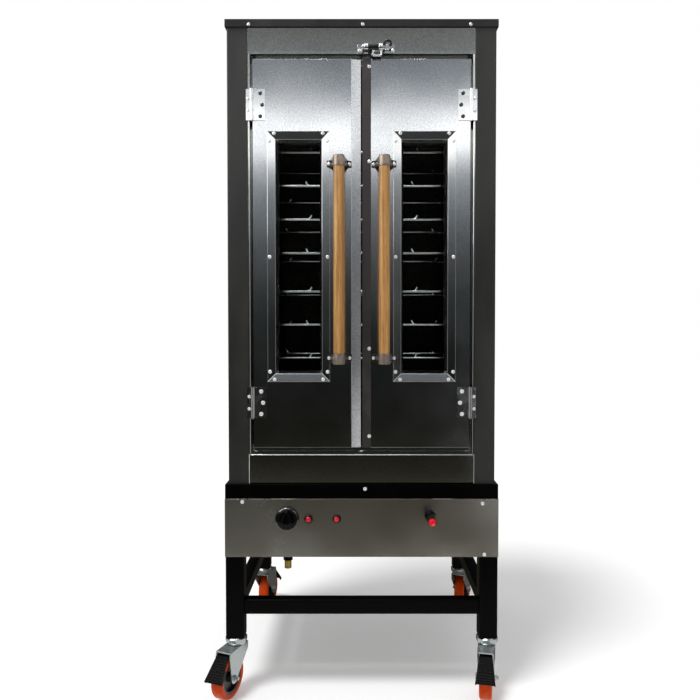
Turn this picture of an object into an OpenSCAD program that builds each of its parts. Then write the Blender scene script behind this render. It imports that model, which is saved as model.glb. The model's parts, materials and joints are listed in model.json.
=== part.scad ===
// Gas convection oven on a wheeled stand, with two window doors.
// X runs right, Y runs back and Z up. The origin is on the floor under the middle of the stand.

/* [Cabinet] */
// Width of the cabinet over its side panels
body_w = 640; // [600:1:720]
// Depth of the cabinet from the front frame to the rear flanges
body_d = 500; // [480:1:640]
// Height of the cabinet panels between base frame and cap
body_h = 1103; // [1060:1:1200]
// Thickness of the painted cabinet sheet
panel_t = 1.5; // [1.2:0.1:2.5]
// Width of each front post
post_w = 50; // [40:1:60]
// How far the cap stands out over the cabinet on each side
cap_over = 4; // [3:0.5:10]
// Height of the lip round the cap
cap_lip = 18; // [12:1:30]
// Mean bend radius of the painted sheet
panel_bend = 2.25; // [1.8:0.05:4]

/* [Front frame] */
// Width of the bright jamb beside each post
jamb_w = 5; // [4.5:0.5:8]
// Height of the sill below the door opening
sill_h = 72; // [60:1:90]
// Height of the header above the door opening
header_h = 78.5; // [70:0.5:100]
// Mean radius of the bright fold round the opening
fold_r = 3.25; // [2.5:0.05:3.6]
// Width of the flange that the doors close against
stop_w = 16; // [12:1:20]
// Depth of the flanges along the top of the header and the foot of the sill
frame_flange = 20; // [10:1:30]

/* [Oven cavity] */
// Thickness of the liner sheet
liner_t = 1.2; // [0.8:0.1:2]
// How far the liner walls stand inside the door opening
liner_inset = 10; // [6:1:13]
// Depth of the liner behind the door stops
liner_d = 400; // [385:1:440]
// Flue gap between the liner and the insulation
flue_gap = 10.5; // [10.5:0.5:14]
// Clearance between the insulation and the outer panels
wool_gap = 0.5; // [0.5:0.5:5]
// Width of the fan chamber behind the baffle
plenum = 80; // [70:1:90]
// Gap between the baffle's edge and the liner walls
baffle_gap = 26; // [20:1:40]
// Diameter of the air inlet in the baffle
inlet_d = 150; // [120:1:170]

/* [Racks] */
// Number of racks
rack_count = 7; // [4:1:7]
// Height of the lowest rack above the sill
rack_first = 228; // [200:1:240]
// Distance between racks
rack_pitch = 82.5; // [75:0.5:86]
// Extra space between the third and fourth racks
rack_extra = 12; // [0:1:16]
// Distance of the front rod behind the front frame
rack_front = 60; // [56:1:70]
// Depth between the front and rear rods
rack_d = 240; // [200:1:250]
// Diameter of the rack rods
rod_d = 6; // [4:0.5:8]
// Length of the upturned stops on the rods
stop_l = 10; // [6:1:14]
// Distance of the front stops from the middle
front_stop_x = 130; // [100:1:150]
// Distance of the rear stops from the middle
rear_stop_x = 205; // [180:1:215]
// Width of the ledges that carry the racks
ledge_w = 20; // [18:1:24]
// Thickness of the ledges and their uprights
ledge_t = 1.5; // [1:0.1:3]

/* [Doors] */
// Thickness of a door
door_t = 38; // [32:1:45]
// Thickness of the door sheet
skin_t = 1.2; // [0.8:0.1:2]
// Gap between a door and the jamb
side_gap = 6; // [5:0.5:10]
// Gap above the doors
top_gap = 12; // [8:0.5:14]
// Gap below the doors
bottom_gap = 16; // [8:0.5:18]
// Gap between the two doors
middle_gap = 3.5; // [3.5:0.1:6]
// How far each meeting edge slopes away towards the back
edge_slope = 4; // [3.5:0.5:6]
// Width of the closing flange on the left door
flange_w = 21.7; // [18:0.1:26]
// How far the closing flange is set back where it starts
flange_step = 1; // [0.5:0.5:3]
// How far the closing flange is set back at the meeting edge
flange_fall = 5.5; // [4:0.5:8]
// Width of the cover strip on the right door
strip_w = 20.5; // [16:0.1:26]
// Thickness of the cover strip
strip_t = 1.5; // [1:0.1:2.5]
// Gap between the doors and the stops
stop_gap = 0.5; // [0.3:0.1:2]

/* [Windows] */
// Width over the window trim
trim_w = 149; // [130:1:155]
// Height over the window trim
trim_h = 596; // [500:1:620]
// Distance of the window's middle from the middle of the oven
window_x = 150; // [146:1:152]
// Height of the window's middle above the bottom edge of the door
window_z = 456.5; // [440:0.5:470]
// Width of the sloping flange of the trim
trim_flange = 19; // [15:0.5:22]
// How far the outer edge of the trim stands out over its bend
trim_rise = 2.8; // [1.5:0.1:4]
// Width of the flat rim round the trim
trim_rim = 0.8; // [0.5:0.1:1.5]
// Thickness of the trim sheet
trim_t = 1.2; // [0.8:0.1:2]
// Depth of the sloping reveal
reveal_d = 12; // [8:1:16]
// How far the reveal slopes in on each side
reveal_in = 6; // [3:0.5:9]
// Thickness of the glass
glass_t = 4; // [3:0.5:5]
// How far the glass reaches under the trim on each side
glass_lap = 5; // [3:0.5:5.5]
// Clearance round the trim and the glass
window_gap = 0.3; // [0.2:0.1:0.5]

/* [Handles] */
// Length over the handle
handle_l = 487; // [440:1:520]
// Height of the lower end of the handle above the bottom edge of the door
handle_z = 202; // [180:1:230]
// Distance of the handle from the middle of the oven
handle_x = 53; // [52:0.5:58]
// Distance of the handle's centre from the door face
handle_out = 38; // [30:1:45]
// Diameter of the wooden grip
grip_d = 26.4; // [22:0.2:28]
// Diameter of the metal end sleeves
sleeve_d = 26; // [22:0.2:28]
// Length of the end sleeves
sleeve_l = 25; // [20:1:35]
// Wall of the end sleeves
sleeve_t = 1.6; // [1.2:0.1:2.5]
// Distance of each bracket screw from the handle's centre
foot_x = 24.4; // [22:0.1:25]
// Width of a bracket foot
foot_w = 10; // [9:0.5:10.5]
// Height of the bracket strap at its foot
strap_h = 14.5; // [12:0.5:18]
// How far the strap's outer edge drops from the sleeve's end to the foot
strap_drop = 6; // [4:0.5:8]
// Thickness of the bracket strap
strap_t = 2; // [1.5:0.1:3]

/* [Hinges] */
// Length of a hinge
hinge_l = 73.5; // [60:0.5:90]
// Height of the lower hinge's middle above the bottom edge of the door
hinge_low = 108; // [70:1:140]
// Height between the middles of the two hinges
hinge_span = 708.5; // [600:0.5:760]
// Diameter of the hinge knuckle
knuckle_d = 7.5; // [6.5:0.1:9]
// Diameter of the hinge pin
pin_d = 4; // [3:0.1:5]
// Radial clearance of turning parts on their pins and shafts
running = 0.05; // [0.02:0.01:0.1]
// Thickness of the hinge leaves
leaf_t = 2; // [1.5:0.1:3]
// Width of the leaf on the door
door_leaf = 27.5; // [22:0.5:32]
// Width of the leaf on the frame
frame_leaf = 10; // [8:0.5:14]
// Gap between neighbouring knuckles
knuckle_gap = 0.4; // [0.3:0.1:1]

/* [Latch] */
// Diameter of the latch barrel
barrel_d = 17; // [12:0.5:18]
// Length of the latch barrel
barrel_l = 44; // [36:1:56]
// Distance of the latch's middle from the middle of the oven
latch_x = 37; // [30:1:44]
// Height of the barrel above the top edge of the opening
latch_z = 11; // [10:0.5:14]
// Clearance between the latch tongue and the top edge of the doors
tongue_gap = 0.7; // [0.5:0.1:2]
// Width of the tongue
tongue_w = 24; // [16:1:30]
// Thickness of the tongue and the latch ears
latch_t = 4; // [3:0.5:5]
// Width of the latch base plate
latch_base_w = 87; // [86:1:100]
// Radius of the bent finger lever
lever_r = 9.5; // [8:0.5:12]
// Thickness of the finger lever
lever_t = 7; // [5:0.5:8]

/* [Stand] */
// Side of the square leg tube
leg_w = 44; // [38:1:50]
// Wall of the stand's tubes and channels
tube_t = 2; // [1.5:0.1:3]
// Radius of the rounded edges of the stand's tubes
tube_r = 4; // [3.5:0.5:6]
// Length of the legs
leg_h = 339; // [300:1:400]
// Height of the base frame
base_h = 34.5; // [30:0.5:45]
// How far the stand stands out round the cabinet
base_over = 7.5; // [5:0.5:12]
// Height of the stretchers above the feet of the legs
stretcher_z = 56; // [40:1:120]
// Height of the stretcher tube
stretcher_h = 36; // [30:1:44]
// Width of the stretcher tube
stretcher_w = 30; // [24:1:36]

/* [Control panel] */
// Height of the control panel
control_h = 140; // [120:1:150]
// Thickness of the control panel sheet
control_t = 1.2; // [1:0.1:2]
// Height of the controls above the panel's lower edge
control_z = 92; // [80:1:100]
// Distance of the gas knob from the middle
knob_x = 178.5; // [160:0.5:200]
// Diameter of the gas knob
knob_d = 57; // [45:1:62]
// Depth of the gas knob
knob_l = 26; // [20:1:32]
// Gap between the gas knob and the panel
knob_gap = 1; // [0.6:0.1:3]
// Diameter of the gas valve's spindle
spindle_d = 8; // [6:0.5:10]
// Distance of the outer pilot lamp from the middle
lamp_outer_x = 127.5; // [110:0.5:140]
// Distance of the inner pilot lamp from the middle
lamp_inner_x = 60; // [40:0.5:90]
// Diameter of the pilot lamp bezel
lamp_d = 21; // [16:0.5:24]
// Distance of the igniter from the middle
igniter_x = 164; // [120:1:200]
// Diameter of the igniter body
igniter_d = 21; // [16:0.5:26]
// How far the igniter body stands out
igniter_l = 54; // [20:1:60]
// Travel of the igniter button
button_travel = 6; // [3:0.5:8]
// Diameter of the igniter button
button_d = 17.5; // [10:0.5:18]

/* [Gas and air] */
// Diameter of the burner tube
burner_d = 26; // [20:1:32]
// Width of the burner ring between tube centres
burner_w = 357; // [300:1:400]
// Depth of the burner ring between tube centres
burner_ring_d = 140; // [110:1:200]
// Diameter of the gas inlet thread
gas_thread_d = 16.6; // [13:0.1:21]
// Length of the gas inlet thread
gas_thread_l = 19; // [12:1:25]
// How far the gas inlet hangs below the control panel
gas_drop = 32; // [28:1:40]
// Diameter of the fan wheel
fan_d = 190; // [160:1:220]
// Width of the fan blades
fan_w = 40; // [30:1:50]
// Number of fan blades
fan_blades = 12; // [6:1:16]
// Diameter of the fan shaft
shaft_d = 12; // [8:0.5:16]
// Diameter of the fan motor
motor_d = 92; // [70:1:110]
// Length of the fan motor
motor_l = 64; // [50:1:70]
// Inside diameter of the flue collar
flue_d = 80; // [60:1:110]
// Length of the flue collar
flue_l = 40; // [25:1:60]
// Height of the flue below the top of the cabinet
flue_drop = 150; // [130:1:250]

/* [Casters] */
// Diameter of the wheels
wheel_d = 100; // [75:1:100]
// Width of the tyres
wheel_w = 30; // [24:1:34]
// Thickness of the tyre
tyre_t = 13; // [8:0.5:14]
// Height from the top of the wheel to the foot of the leg
head_h = 34; // [32:0.5:40]
// Distance of the wheel axle from the swivel axis
trail = 40; // [34:1:45]
// Diameter of the swivel head
head_d = 52; // [40:1:56]
// Thickness of the fork plates
fork_t = 3; // [2:0.1:4]
// Gap between a tyre and the fork plates
fork_gap = 2.5; // [1.5:0.1:4]
// Diameter of the wheel axle
axle_d = 8; // [6:0.5:12]
// Length of the axle bolt's head
bolt_head = 5; // [4:0.5:7]
// How far the axle bolt stands out past its nut
bolt_tail = 5; // [2:0.5:7]
// Diameter of the swivel pin
kingpin_d = 12.5; // [10:0.5:16]
// Turn of the front left caster from straight ahead
turn_left = 22; // [0:1:30]
// Turn of the front right caster from straight ahead
turn_right = 12; // [0:1:30]
// Length of the brake pedal plate
pedal_l = 60; // [45:1:62]
// Width of the pedal at its root
pedal_root = 32; // [26:1:34]
// Width of the pedal at its tip
pedal_tip = 47; // [36:1:54]
// Thickness of the pedal plate
pedal_t = 3.2; // [2.5:0.1:5]
// Gap between the pedal and the tyre
pedal_gap = 2; // [1.5:0.1:5]

/* [Hidden] */
$fn = 48;

// Heights, from the floor up
leg_z = wheel_d + head_h;
base_z = leg_z + leg_h;
body_z = base_z + base_h;
body_top = body_z + body_h;
open_z = body_z + sill_h;
open_top = body_top - header_h;
control_foot = base_z - control_h;
dial_z = control_foot + control_z;

// Half widths and depths
half_w = body_w / 2;
face_y = -body_d / 2;
base_x = half_w + base_over;
base_y = body_d / 2 + base_over;
leg_x = base_x - leg_w / 2;
leg_y = base_y - leg_w / 2;
frame_x = half_w - post_w;
open_x = frame_x - jamb_w;
control_y = -base_y - control_t;

// Doors
door_x = open_x - side_gap;
door_z = open_z + bottom_gap;
door_top = open_top - top_gap;
door_h = door_top - door_z;
door_mid = middle_gap / 2;
trim_z = door_z + window_z;
trim_edge = trim_t + trim_rise;
trim_slope = atan(trim_rise / (trim_flange - trim_rim));
trim_screw = 5.5;
trim_seat = trim_edge - (trim_screw - trim_rim) * tan(trim_slope);
bend_w = trim_w - 2 * trim_flange;
bend_h = trim_h - 2 * trim_flange;
sight_w = bend_w - 2 * reveal_in;
sight_h = bend_h - 2 * reveal_in;
glass_y = reveal_d + window_gap;
glass_w = sight_w + 2 * glass_lap;
glass_h = sight_h + 2 * glass_lap;
hinge_x = door_x + side_gap / 4;
hinge_y = face_y - knuckle_d / 2;
hinge_zs = [door_z + hinge_low, door_z + hinge_low + hinge_span];
hinge_screw_z = 0.37 * hinge_l;

// Cavity
stop_y = face_y + door_t + stop_gap;
liner_y = stop_y + panel_t;
liner_x = open_x - liner_inset;
liner_z = open_z + liner_inset;
liner_top = open_top - liner_inset;
liner_back = liner_y + liner_d;
baffle_y = liner_back - plenum;
baffle_x = liner_x - baffle_gap;
wool_x = liner_x + liner_t + flue_gap;
wool_top = liner_top + liner_t + flue_gap;
wool_back = liner_back + liner_t + flue_gap;
back_y = body_d / 2 - panel_t;
fan_z = (liner_z + liner_top) / 2;
flue_z = body_top - flue_drop;
wool_front = liner_y + 2;
rack_play = 3;
rack_x = open_x - stop_w - rack_play - rod_d / 2;
rack_y = face_y + rack_front;
rack_z = [for (i = [0 : rack_count - 1]) open_z + rack_first + i * rack_pitch + (i > 2 ? rack_extra : 0)];
seat_gap = 0.3;
rear_flange = 22;
post_return = 12;
stop_lean = 35;
baffle_end = 30;
baffle_slots = 7;
ports = 8;
lamp_neck = 15.4;
igniter_neck = 16;
igniter_up = 8;
latch_pin_d = 6;

// Latch
latch_y = face_y - barrel_d / 2 - 5;
barrel_z = open_top + latch_z;
tongue_z = door_top + tongue_gap;
lever_tilt = 50;
latch_left = latch_x - 31;
latch_right = latch_left + barrel_l;
plate_mid = latch_x - 2.5;
latch_plate = 2;
latch_h = 2 * latch_z;
ear_gap = 0.4;

// Gas valve and burner
valve_d = 28;
valve_l = 34;
valve_y = -base_y;
boss_d = 13.6;
burner_y = 10;
spud_l = 10;

// Casters
axle_z = wheel_d / 2;
rim_r = axle_z - tyre_t;
fork_x = wheel_w / 2 + fork_gap;
crown_z = wheel_d + 12;
pivot_y = -34;
pivot_z = crown_z - 5.5;
pivot_d = 5;
pedal_slope = 47.6;

// Rows of screws round the window trim, as shares of its height
trim_rows = [-0.46, 0, 0.46];

// Screws of the cap's front, as shares of the cabinet's half width
cap_screws = [-0.834, 0.009, 0.806];

// Screws of the control panel, as shares of the stand's half width and the panel's height
panel_screws = [[-0.873, 0.95], [0.885, 0.921], [0.9, 0.043]];

// The two sides of the oven: left is -1, right is 1
SIDES = [-1, 1];

// Corner positions of the stand
CORNERS = [[-1, -1], [1, -1], [-1, 1], [1, 1]];

function unit(a, b) = (b - a) / norm(b - a);
function left_of(v) = [-v[1], v[0]];
function turned(v, a) = [v[0] * cos(a) - v[1] * sin(a), v[0] * sin(a) + v[1] * cos(a)];

// Points and normals round one bend of radius r at b, between a and c
function bend(a, b, c, r, n) =
  let (
    d1 = unit(a, b),
    d2 = unit(b, c),
    turn = atan2(d1[0] * d2[1] - d1[1] * d2[0], d1 * d2),
    centre = b - d1 * r * tan(abs(turn) / 2) + left_of(d1) * r * sign(turn)
  )
  [for (k = [0 : n]) let (m = turned(left_of(d1), turn * k / n)) [centre - m * r * sign(turn), m]];

// Points and normals along an open path with rounded corners
function path_stations(p, r, n) = [
  for (i = [0 : len(p) - 1])
    each i == 0 ? [[p[0], left_of(unit(p[0], p[1]))]]
      : i == len(p) - 1 ? [[p[i], left_of(unit(p[i - 1], p[i]))]]
      : bend(p[i - 1], p[i], p[i + 1], r, n)
];

// Outline of a sheet of thickness t that follows a path along its middle
function sheet_outline(p, t, r, n = 4) =
  let (s = path_stations(p, r, n))
  concat(
    [for (q = s) q[0] + q[1] * t / 2],
    [for (i = [len(s) - 1 : -1 : 0]) s[i][0] - s[i][1] * t / 2]
  );

// Points of an arc about a centre
function arc(centre, r, from, to, n = 8) =
  [for (k = [0 : n]) let (a = from + (to - from) * k / n) centre + r * [cos(a), sin(a)]];

// A sheet folded along a path in plan, standing from z = 0 to its height
module folded_sheet(path, t, r, height) {
  linear_extrude(height) polygon(sheet_outline(path, t, r));
}

// A box given by its lowest and highest corners
module block(low, high) {
  translate(low) cube(high - low);
}

// Outline of a rectangle about the middle, its corners rounded
function round_rect(w, d, r) =
  let (x = w / 2 - r, y = d / 2 - r)
  concat(
    arc([x, y], r, 0, 90, 4), arc([-x, y], r, 90, 180, 4),
    arc([-x, -y], r, 180, 270, 4), arc([x, -y], r, 270, 360, 4)
  );

// A tube of rectangular section along Z, from z = 0, its edges rounded
module tube_z(w, d, h, t) {
  difference() {
    linear_extrude(h) polygon(round_rect(w, d, tube_r));
    translate([0, 0, -1]) linear_extrude(h + 2) polygon(round_rect(w - 2 * t, d - 2 * t, tube_r - t));
  }
}

// A straight-sided funnel between two upright rectangles, from y = 0 to y = d
module funnel(w1, h1, w2, h2, d) {
  a = [w1, h1] / 2;
  b = [w2, h2] / 2;
  polyhedron(
    points = [
      [-a[0], 0, -a[1]], [a[0], 0, -a[1]], [a[0], 0, a[1]], [-a[0], 0, a[1]],
      [-b[0], d, -b[1]], [b[0], d, -b[1]], [b[0], d, b[1]], [-b[0], d, b[1]]
    ],
    faces = [[3, 2, 1, 0], [4, 5, 6, 7], [0, 1, 5, 4], [1, 2, 6, 5], [2, 3, 7, 6], [3, 0, 4, 7]]
  );
}

// A cylinder along Y that starts at y = 0 and runs back
module rod_y(d, l) {
  rotate([-90, 0, 0]) cylinder(d = d, h = l);
}

// A cylinder along X, centred
module rod_x(d, l) {
  rotate([0, 90, 0]) cylinder(d = d, h = l, center = true);
}

// A pan-head screw that faces the front, its head seated at y = 0
module screw(head_d = 7.5, head_h = 2.4) {
  rotate([90, 0, 0]) rotate_extrude($fn = 20)
    polygon([[0, 0], [head_d / 2, 0], [head_d / 2, head_h * 0.35], [head_d * 0.34, head_h * 0.85],
             [head_d * 0.12, head_h], [0, head_h]]);
}

// Cabinet

module top_cap() {
  x = half_w + cap_over;
  y = body_d / 2 + cap_over;
  top = body_top + panel_t;
  color("#1b1b1c") difference() {
    block([-x, -y, top - cap_lip], [x, y, top]);
    block([-x + panel_t, -y + panel_t, top - cap_lip - 1], [x - panel_t, y - panel_t, body_top]);
  }
}

// One side panel: rear flange, side, front post and the return inside the post
module side_panel() {
  m = panel_t / 2;
  path = [
    [half_w - rear_flange, body_d / 2 - m], [half_w - m, body_d / 2 - m], [half_w - m, face_y + m],
    [frame_x + m, face_y + m], [frame_x + m, face_y + post_return]
  ];
  color("#232522") translate([0, 0, body_z]) folded_sheet(path, panel_t, panel_bend, body_h);
}

module left_side_panel() { mirror([1, 0, 0]) side_panel(); }
module right_side_panel() { side_panel(); }

module back_panel() {
  x = half_w - panel_t - 2;
  color("#26282a") difference() {
    union() {
      block([-x, back_y - panel_t, body_z], [x, back_y, body_top]);
      translate([0, back_y - panel_t, flue_z]) rod_y(flue_d + 2 * panel_t, panel_t + flue_l);
    }
    translate([0, back_y - panel_t - 1, flue_z]) rod_y(flue_d, panel_t + flue_l + 2);
    translate([0, back_y - panel_t - 1, fan_z]) rod_y(shaft_d + 10, panel_t + 2);
  }
}

// Outline of a frame member: u runs out from the opening's edge, v runs back from the face
function member_path(skin, flanged) =
  let (m = panel_t / 2, back = door_t + stop_gap + m)
  concat(
    flanged ? [[skin - m, frame_flange], [skin - m, m]] : [[skin, m]],
    [[m, m], [m, back], [-stop_w, back]]
  );

// The part of a frame member that lies inside an outline in elevation
module mitred(outline) {
  intersection() {
    children();
    translate([0, face_y + door_t + 20, 0]) rotate([90, 0, 0]) linear_extrude(door_t + 40) polygon(outline);
  }
}

module frame_jamb() {
  s = stop_w + 5;
  outline = [
    [open_x, open_z], [frame_x, open_z], [frame_x, open_top], [open_x, open_top],
    [open_x - s, open_top - s], [open_x - s, open_z + s]
  ];
  mitred(outline) translate([open_x, face_y, open_z - 1])
    folded_sheet(member_path(jamb_w, false), panel_t, fold_r, open_top - open_z + 2);
}

// A header or sill of skin height h whose opening edge is at z = 0, seen with its body above
module frame_rail(h) {
  s = stop_w + 5;
  outline = [
    [-frame_x, h + 1], [-frame_x, 0], [-open_x, 0], [-open_x + s, -s], [open_x - s, -s], [open_x, 0],
    [frame_x, 0], [frame_x, h + 1]
  ];
  mitred(outline) translate([frame_x, face_y, 0]) rotate([0, -90, 0])
    folded_sheet(member_path(h, true), panel_t, fold_r, 2 * frame_x);
}

module front_frame() {
  color("#6d6e6a") {
    frame_jamb();
    mirror([1, 0, 0]) frame_jamb();
    translate([0, 0, open_top]) frame_rail(header_h);
    translate([0, 0, open_z]) mirror([0, 0, 1]) frame_rail(sill_h);
  }
}

module oven_liner() {
  t = liner_t;
  color("#3a3a3a") difference() {
    block([-liner_x - t, liner_y, liner_z - t], [liner_x + t, liner_back + t, liner_top + t]);
    block([-liner_x, liner_y - 1, liner_z], [liner_x, liner_back, liner_top]);
    translate([0, liner_back - 1, fan_z]) rod_y(shaft_d + 4, t + 2);
  }
}

module insulation() {
  x = half_w - panel_t - wool_gap;
  color("#cfc9a8") difference() {
    block([-x, wool_front, body_z], [x, back_y - panel_t - wool_gap, body_top - wool_gap]);
    block([-wool_x, wool_front - 1, body_z - 1], [wool_x, wool_back, wool_top]);
    translate([0, wool_back - 1, fan_z]) rod_y(shaft_d + 10, body_d);
    translate([0, wool_back - 1, flue_z]) rod_y(flue_d, body_d);
  }
}

// Racks

// One side's uprights and ledges, folded from sheet and welded
module rack_ladder() {
  x = liner_x;
  low = rack_z[0] - 30;
  high = rack_z[rack_count - 1] + 30;
  for (y = [rack_y + 10, rack_y + rack_d - 30]) block([x - ledge_t, y, low], [x, y + 20, high]);
  for (z = rack_z) {
    top = z - rod_d / 2 - seat_gap;
    block([x - ledge_w, rack_y - 8, top - ledge_t], [x, rack_y + rack_d + 20, top]);
    block([x - ledge_t, rack_y - 8, top - 12], [x, rack_y + rack_d + 20, top]);
  }
}

module rack_rails() {
  color("#555555") {
    rack_ladder();
    mirror([1, 0, 0]) rack_ladder();
  }
}

// One rod frame with two leaning stops on its front rod and two on its rear rod
module wire_rack(lean) {
  for (y = [0, rack_d]) translate([0, y, 0]) rod_x(rod_d, 2 * rack_x);
  for (s = SIDES) {
    translate([s * rack_x, 0, 0]) rod_y(rod_d, rack_d);
    for (y = [0, rack_d]) translate([s * rack_x, y, 0]) sphere(d = rod_d, $fn = 24);
    translate([s * front_stop_x, 0, 0]) rotate([0, lean, 0]) cylinder(d = rod_d - 1, h = rod_d / 2 + stop_l);
    translate([s * rear_stop_x, rack_d, 0]) rotate([0, -lean, 0]) cylinder(d = rod_d - 1, h = rod_d / 2 + stop_l);
  }
}

module wire_racks() {
  color("#b9bcbe") for (i = [0 : rack_count - 1])
    translate([0, rack_y, rack_z[i]]) wire_rack(i % 2 == 0 ? stop_lean : -stop_lean);
}

// Fan

module fan_baffle() {
  m = liner_t / 2;
  rear = liner_back - seat_gap;
  path = [[baffle_x, rear], [baffle_x, baffle_y + m], [-baffle_x, baffle_y + m], [-baffle_x, rear]];
  h = liner_top - liner_z - 2 * baffle_end;
  slot = h / baffle_slots;
  color("#6a6a6a") translate([0, 0, liner_z + baffle_end]) difference() {
    folded_sheet(path, liner_t, 2, h);
    translate([0, baffle_y - 1, fan_z - liner_z - baffle_end]) rod_y(inlet_d, liner_t + 2);
    for (i = [0 : baffle_slots - 1])
      block([-liner_x, baffle_y + 16, (i + 0.15) * slot], [liner_x, rear - 14, (i + 0.85) * slot]);
  }
}

module fan_wheel() {
  disc_y = baffle_y + 14 + fan_w;
  blade = sheet_outline([[fan_d * 0.27, 0], [fan_d * 0.38, fan_d * 0.03], [fan_d * 0.48, fan_d * 0.14]], 1.2, 20);
  color("#9a9a9a") translate([0, 0, fan_z]) {
    translate([0, disc_y, 0]) rod_y(fan_d, 2);
    translate([0, disc_y - 12, 0]) rod_y(30, 14);
    translate([0, disc_y, 0]) rod_y(shaft_d, body_d / 2 + 28 - disc_y);
    translate([0, disc_y + 0.5, 0]) rotate([90, 0, 0])
      for (i = [0 : fan_blades - 1]) rotate(i * 360 / fan_blades) linear_extrude(fan_w) polygon(blade);
  }
}

module fan_motor() {
  r = shaft_d / 2 + running;
  R = motor_d / 2;
  plate = motor_d * 0.62;
  color("#3c4043") translate([0, back_y, fan_z]) difference() {
    union() {
      block([-plate, 0, -plate], [plate, 3, plate]);
      rotate([-90, 0, 0]) rotate_extrude()
        polygon([[0, 1], [R, 1], [R, motor_l - 16], [R - 4, motor_l - 14], [R - 6, motor_l - 4], [R - 16, motor_l],
                 [0, motor_l]]);
    }
    translate([0, -1, 0]) rod_y(2 * r, 34);
  }
}

// Gas

// A ring burner with a mixing tube that runs forward to the valve, hung from a bar
module burner() {
  x1 = -knob_x;
  x2 = x1 + burner_w;
  y1 = burner_y - burner_ring_d / 2;
  y2 = burner_y + burner_ring_d / 2;
  mouth = valve_y + valve_l + spud_l + 4;
  bar_x = base_x - leg_w + 18;
  color("#4a4744") difference() {
    union() {
      for (y = [y1, y2]) translate([(x1 + x2) / 2, y, dial_z]) rod_x(burner_d, burner_w);
      translate([x2, y1, dial_z]) rod_y(burner_d, burner_ring_d);
      translate([x1, mouth + 12, dial_z]) rod_y(burner_d, y2 - mouth - 12);
      translate([x1, mouth, dial_z]) rotate([-90, 0, 0]) cylinder(d1 = burner_d + 8, d2 = burner_d, h = 14);
      for (x = [x1, x2], y = [y1, y2]) translate([x, y, dial_z]) sphere(d = burner_d);
      for (x = [x1, x2]) translate([x, burner_y, dial_z]) cylinder(d = 8, h = base_z - dial_z - 2);
      block([-bar_x, burner_y - 12, base_z - 4], [bar_x, burner_y + 12, base_z]);
    }
    translate([x1, mouth - 1, dial_z]) rod_y(burner_d - 6, 60);
    for (i = [0 : ports - 1], y = [y1, y2])
      translate([x1 + burner_w * (i + 1) / (ports + 1), y, dial_z + burner_d / 2]) cube([3, 12, 6], center = true);
  }
}

module gas_valve() {
  stub = valve_d / 2 + 20;
  front = control_y - knob_gap + 0.4;
  color("#8d8f90") translate([-knob_x, 0, dial_z]) difference() {
    union() {
      translate([0, valve_y, 0]) rod_y(valve_d, valve_l);
      translate([0, front, 0]) rod_y(boss_d, valve_y - front + 1);
      translate([0, valve_y + valve_l - 1, 0]) rod_y(10, spud_l + 1);
      translate([0, valve_y + valve_l / 2, -stub]) cylinder(d = 14, h = stub);
    }
    translate([0, front - 1, 0]) rod_y(spindle_d + 2 * running, valve_y - front + 22);
  }
}

module gas_pipe() {
  top = dial_z - valve_d / 2 - 20;
  collar = gas_drop - gas_thread_l;
  color("#8a7a3e") translate([-knob_x, valve_y + valve_l / 2, 0]) difference() {
    union() {
      translate([0, 0, control_foot - gas_drop]) cylinder(d = gas_thread_d, h = gas_thread_l);
      translate([0, 0, control_foot - collar]) cylinder(d = gas_thread_d + 6, h = collar + 3, $fn = 6);
      translate([0, 0, control_foot]) cylinder(d = 12, h = top - control_foot);
    }
    translate([0, 0, control_foot - gas_drop - 1]) cylinder(d = 8, h = gas_drop + 20);
  }
}

// Control panel

module control_panel() {
  m = control_t / 2;
  x = base_x + m;
  y = base_y + m;
  path = [[x, base_y], [x, -y], [-x, -y], [-x, base_y]];
  color("#4a4741") difference() {
    union() {
      translate([0, 0, control_foot]) folded_sheet(path, control_t, 2, control_h);
      block([-base_x + leg_w, -y, control_foot], [base_x - leg_w, -base_y + 14, control_foot + control_t]);
    }
    translate([0, control_y - 1, dial_z]) {
      translate([-knob_x, 0, 0]) rod_y(boss_d + 0.6, control_t + 2);
      for (x = [lamp_outer_x, lamp_inner_x]) translate([-x, 0, 0]) rod_y(lamp_neck + 0.6, control_t + 2);
      translate([igniter_x, 0, igniter_up]) rod_y(igniter_neck + 0.6, control_t + 2);
    }
    translate([-knob_x, valve_y + valve_l / 2, control_foot - 1]) cylinder(d = gas_thread_d + 10, h = 4);
  }
}

module control_knob() {
  r = knob_d / 2;
  back = control_y - knob_gap;
  grip = concat(arc([0, 0], knob_d * 0.21, 150, 390, 12), arc([0, knob_d * 0.36], knob_d * 0.07, 20, 160, 6));
  color("#141414") translate([-knob_x, back, dial_z]) {
    rotate([90, 0, 0]) {
      rotate_extrude() polygon([[0, 0], [r, 0], [r, 5], [r - 2, 8], [r - 6, 10], [0, 11]]);
      translate([0, 0, 5]) linear_extrude(knob_l - 5) polygon(grip);
    }
    translate([0, -1, 0]) rod_y(spindle_d, valve_y + 18 - back + 1);
  }
}

module pilot_lamps() {
  r = lamp_d / 2;
  n = lamp_neck / 2;
  lens = concat([[n, 4]], arc([0, 3], n - 1, 20, 90, 5));
  outline = concat([[0, -24], [n, -24], [n, 0], [r, 0], [r, 2], [r - 2, 4]], lens);
  color("#b3121f") for (x = [lamp_outer_x, lamp_inner_x])
    translate([-x, control_y, dial_z]) rotate([90, 0, 0]) rotate_extrude() polygon(outline);
}

module igniter_body() {
  r = igniter_d / 2;
  n = igniter_neck / 2;
  color("#1a1a1a") translate([igniter_x, control_y, dial_z + igniter_up]) difference() {
    rotate([90, 0, 0]) rotate_extrude()
      polygon([[0, -30], [n, -30], [n, 0], [r + 3, 0], [r + 3, 3], [r, 5], [r, igniter_l], [0, igniter_l]]);
    translate([0, -igniter_l - 1, 0]) rod_y(button_d + 2 * running, 21);
  }
}

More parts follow.
